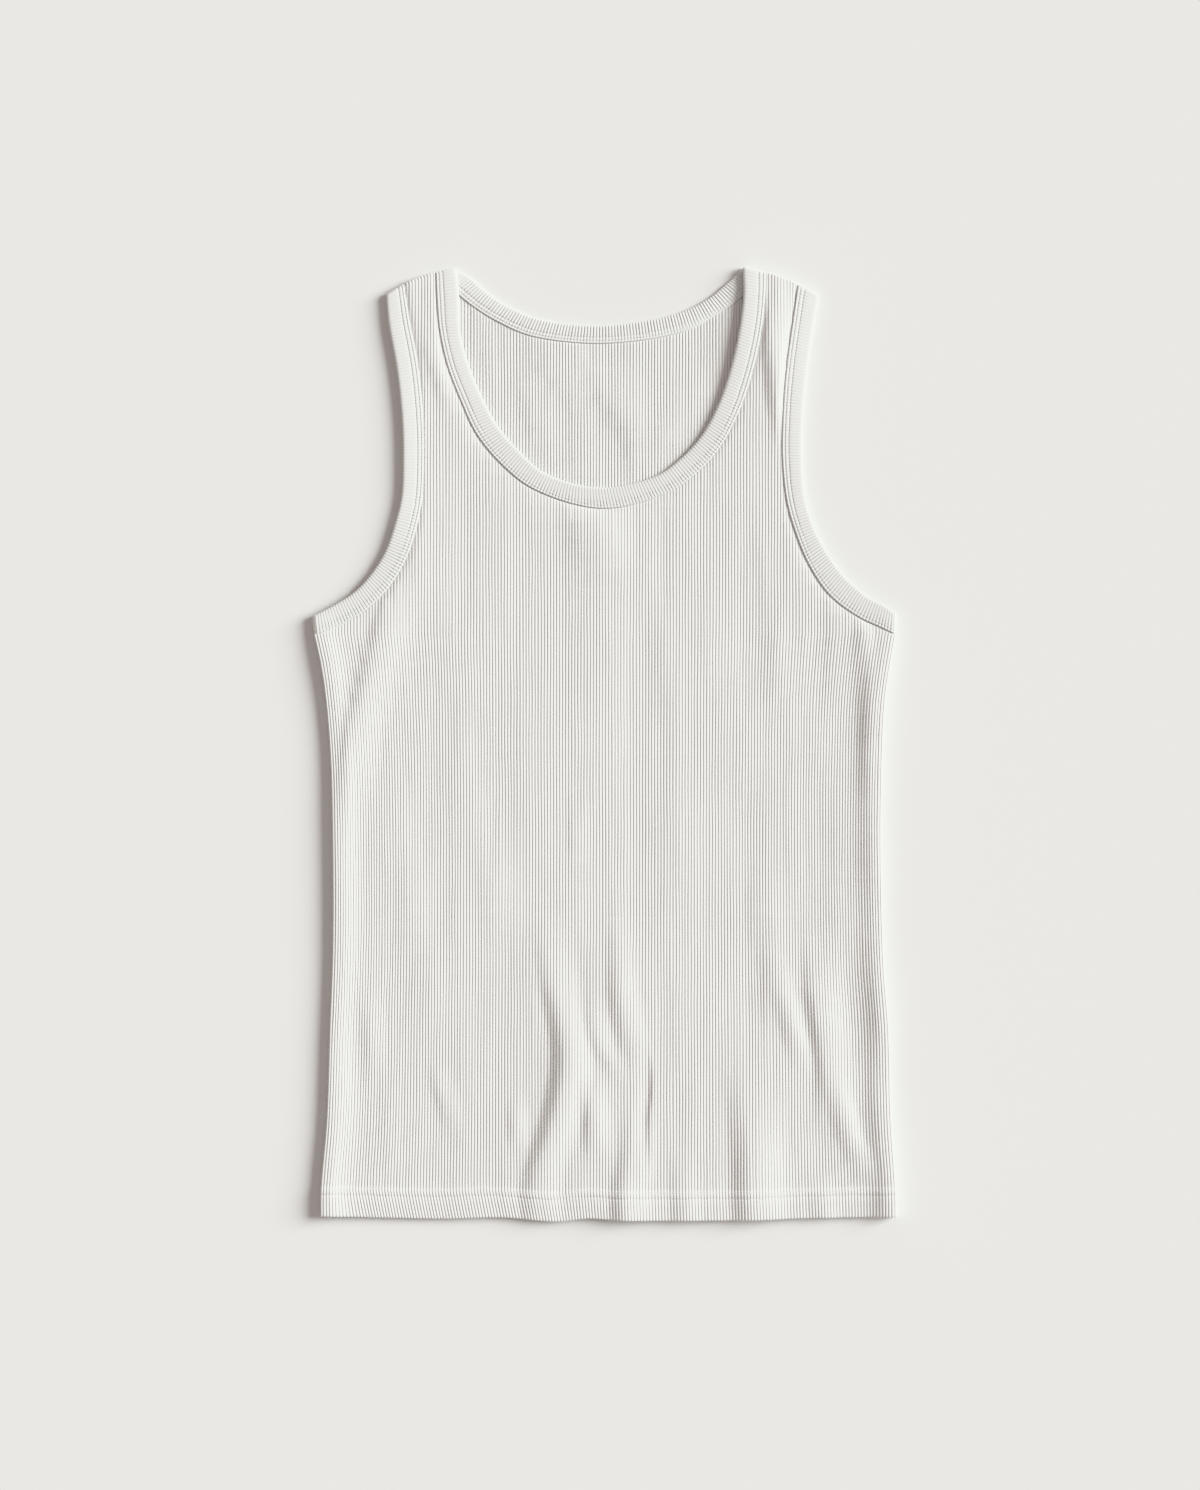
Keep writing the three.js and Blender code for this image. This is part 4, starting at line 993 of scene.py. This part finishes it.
def coverstitch_tree():
    """Stitches along a seam line, a second row beside it, and a thread that crosses between."""
    tree = bpy.data.node_groups.new("coverstitch", "GeometryNodeTree")
    tree.interface.new_socket("Seam", in_out="INPUT", socket_type="NodeSocketGeometry")
    inputs = {name: tree.interface.new_socket(name, in_out="INPUT", socket_type=kind).identifier
              for name, kind in (("Stitch Length", "NodeSocketFloat"),
                                 ("Thread Radius", "NodeSocketFloat"),
                                 ("Cover Radius", "NodeSocketFloat"),
                                 ("Cover Thread", "NodeSocketBool"),
                                 ("Thread", "NodeSocketMaterial"))}
    tree.interface.new_socket("Stitches", in_out="OUTPUT", socket_type="NodeSocketGeometry")
    start, end = tree.nodes.new("NodeGroupInput"), tree.nodes.new("NodeGroupOutput")
    join = tree.nodes.new("GeometryNodeJoinGeometry")

    def add(kind, sockets, output=0, **properties):
        """A node with its inputs set or linked."""
        node = tree.nodes.new(kind)
        for name, value in properties.items():
            setattr(node, name, value)
        for name, value in sockets.items():
            if isinstance(value, bpy.types.NodeSocket):
                tree.links.new(value, node.inputs[name])
            else:
                node.inputs[name].default_value = value
        return node.outputs[output]

    length, radius = start.outputs["Stitch Length"], start.outputs["Thread Radius"]
    seam = add("GeometryNodeMeshToCurve", {"Mesh": start.outputs["Seam"]})
    row = add("GeometryNodeResampleCurve", {"Curve": seam, "Length": length}, mode="LENGTH")
    to_second = add("GeometryNodeInputNamedAttribute", {"Name": "to_second_row"},
                    data_type="FLOAT_VECTOR")
    second = add("GeometryNodeSetPosition", {"Geometry": row, "Offset": to_second})
    stitch = add("GeometryNodeMeshUVSphere", {"Segments": 8, "Rings": 5, "Radius": radius})
    stretch = math_node(tree, "DIVIDE", math_node(tree, "MULTIPLY", length, HALF_SHOWN), radius)
    shape = add("ShaderNodeCombineXYZ", {"X": stretch, "Y": 1.0, "Z": 1.0})
    turn = add("FunctionNodeAlignRotationToVector", {"Vector": add("GeometryNodeInputTangent", {})},
               axis="X")
    for points in (row, second):
        stitches = add("GeometryNodeInstanceOnPoints",
                       {"Points": points, "Instance": stitch, "Rotation": turn, "Scale": shape})
        tree.links.new(stitches, join.inputs["Geometry"])

    half_length = math_node(tree, "MULTIPLY", length, 0.5)
    turns = add("GeometryNodeResampleCurve", {"Curve": seam, "Length": half_length}, mode="LENGTH")
    other_side = math_node(tree, "MODULO", add("GeometryNodeInputIndex", {}), 2)
    crossing = tree.nodes.new("ShaderNodeVectorMath")
    crossing.operation = "SCALE"
    tree.links.new(to_second, crossing.inputs[0])
    tree.links.new(other_side, crossing.inputs["Scale"])
    zigzag = add("GeometryNodeSetPosition", {"Geometry": turns, "Offset": crossing.outputs[0]})
    circle = add("GeometryNodeCurvePrimitiveCircle",
                 {"Resolution": 5, "Radius": start.outputs["Cover Radius"]})
    cover = add("GeometryNodeCurveToMesh",
                {"Curve": zigzag, "Profile Curve": circle, "Fill Caps": True})
    shown = add("GeometryNodeSwitch", {"Switch": start.outputs["Cover Thread"], "True": cover},
                input_type="GEOMETRY")
    tree.links.new(shown, join.inputs["Geometry"])

    real = add("GeometryNodeRealizeInstances", {"Geometry": join.outputs[0]})
    smooth = add("GeometryNodeSetShadeSmooth", {"Geometry": real})
    done = add("GeometryNodeSetMaterial", {"Geometry": smooth, "Material": start.outputs["Thread"]})
    tree.links.new(done, end.inputs["Stitches"])
    return tree, inputs


coverstitch, stitch_inputs = coverstitch_tree()


def evened(line):
    """The line with its heights averaged, as a tight thread bridges the ribs."""
    padded = np.pad(line[:, 2], RIBS_BRIDGED // 2, mode="edge")
    share = np.ones(RIBS_BRIDGED) / RIBS_BRIDGED
    heights = np.convolve(padded, share, mode="valid")[: len(line)]
    return np.column_stack([line[:, :2], heights + THREAD_LIFT])


def sew(name, seams, covered):
    """Stitches along each seam, given as its first and its second row of places."""
    places, edges, offsets = [], [], []
    for first, second in seams:
        first, second = evened(first), evened(second)
        start = len(places)
        places += in_metres(first)
        offsets += ((second - first) * MM).tolist()
        edges += [(k, k + 1) for k in range(start, len(places) - 1)]
    mesh = bpy.data.meshes.new(name)
    mesh.from_pydata(places, edges, [])
    offset_layer = mesh.attributes.new("to_second_row", "FLOAT_VECTOR", "POINT")
    offset_layer.data.foreach_set("vector", np.asarray(offsets, np.float32).ravel())
    piece = bpy.data.objects.new(name, mesh)
    bpy.context.scene.collection.objects.link(piece)
    modifier = piece.modifiers.new("stitches", "NODES")
    modifier.node_group = coverstitch
    modifier[stitch_inputs["Stitch Length"]] = STITCH_LENGTH * MM
    modifier[stitch_inputs["Thread Radius"]] = THREAD_RADIUS * MM
    modifier[stitch_inputs["Cover Radius"]] = COVER_RADIUS * MM
    modifier[stitch_inputs["Cover Thread"]] = covered
    modifier[stitch_inputs["Thread"]] = thread_white
    evaluated = piece.evaluated_get(bpy.context.evaluated_depsgraph_get())
    sewn = bpy.data.meshes.new_from_object(evaluated)
    piece.modifiers.clear()
    piece.data = sewn
    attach(piece, "root")


def band_seam(ring, radius, chosen):
    """The two rows of places on a band, over one chosen stretch of its ring."""
    places = band_points(ring, radius)
    start = np.flatnonzero(chosen & ~np.roll(chosen, 1))[0]
    order = np.roll(np.arange(len(chosen)), -start)
    order = order[chosen[order]]
    return [places[order, column] for column in ROW_COLUMNS]


def on_front(ring):
    """The places on the front of a band and as far as halfway round its folds."""
    return np.cos(ring["turn"]) > -0.05


on_back = np.isclose(neck_ring["turn"], math.pi)
sew("neck_stitches", [band_seam(neck_ring, neck_outer, on_front(neck_ring)),
                      band_seam(neck_ring, neck_inner, on_back)], True)
for side, (ring, outer, _) in arm_bands.items():
    sew(f"armhole_stitches_{side}", [band_seam(ring, outer, on_front(ring))], True)


POINTS_IN_RIB = 6


def hem_row(row):
    """Places along a row of the hem's sewing, round the side folds too."""
    across = np.linspace(-ARMPIT_FOLD, ARMPIT_FOLD, POINTS_IN_RIB * RIB_COUNT + 1)
    flat = np.zeros(len(across))
    turn = np.array(ROLL_TURNS)
    edge = np.full(len(turn), ARMPIT_FOLD)
    across = np.concatenate([-edge, across, edge])
    turn = np.concatenate([turn[::-1], flat, turn])
    return front_face({"across": across, "y": hem_y(across) + row, "turn": turn,
                       "fold": np.where(turn > 0, SIDE_FOLD, 0)})


sew("hem_stitches", [[hem_row(row) for row in HEM_ROWS]], False)
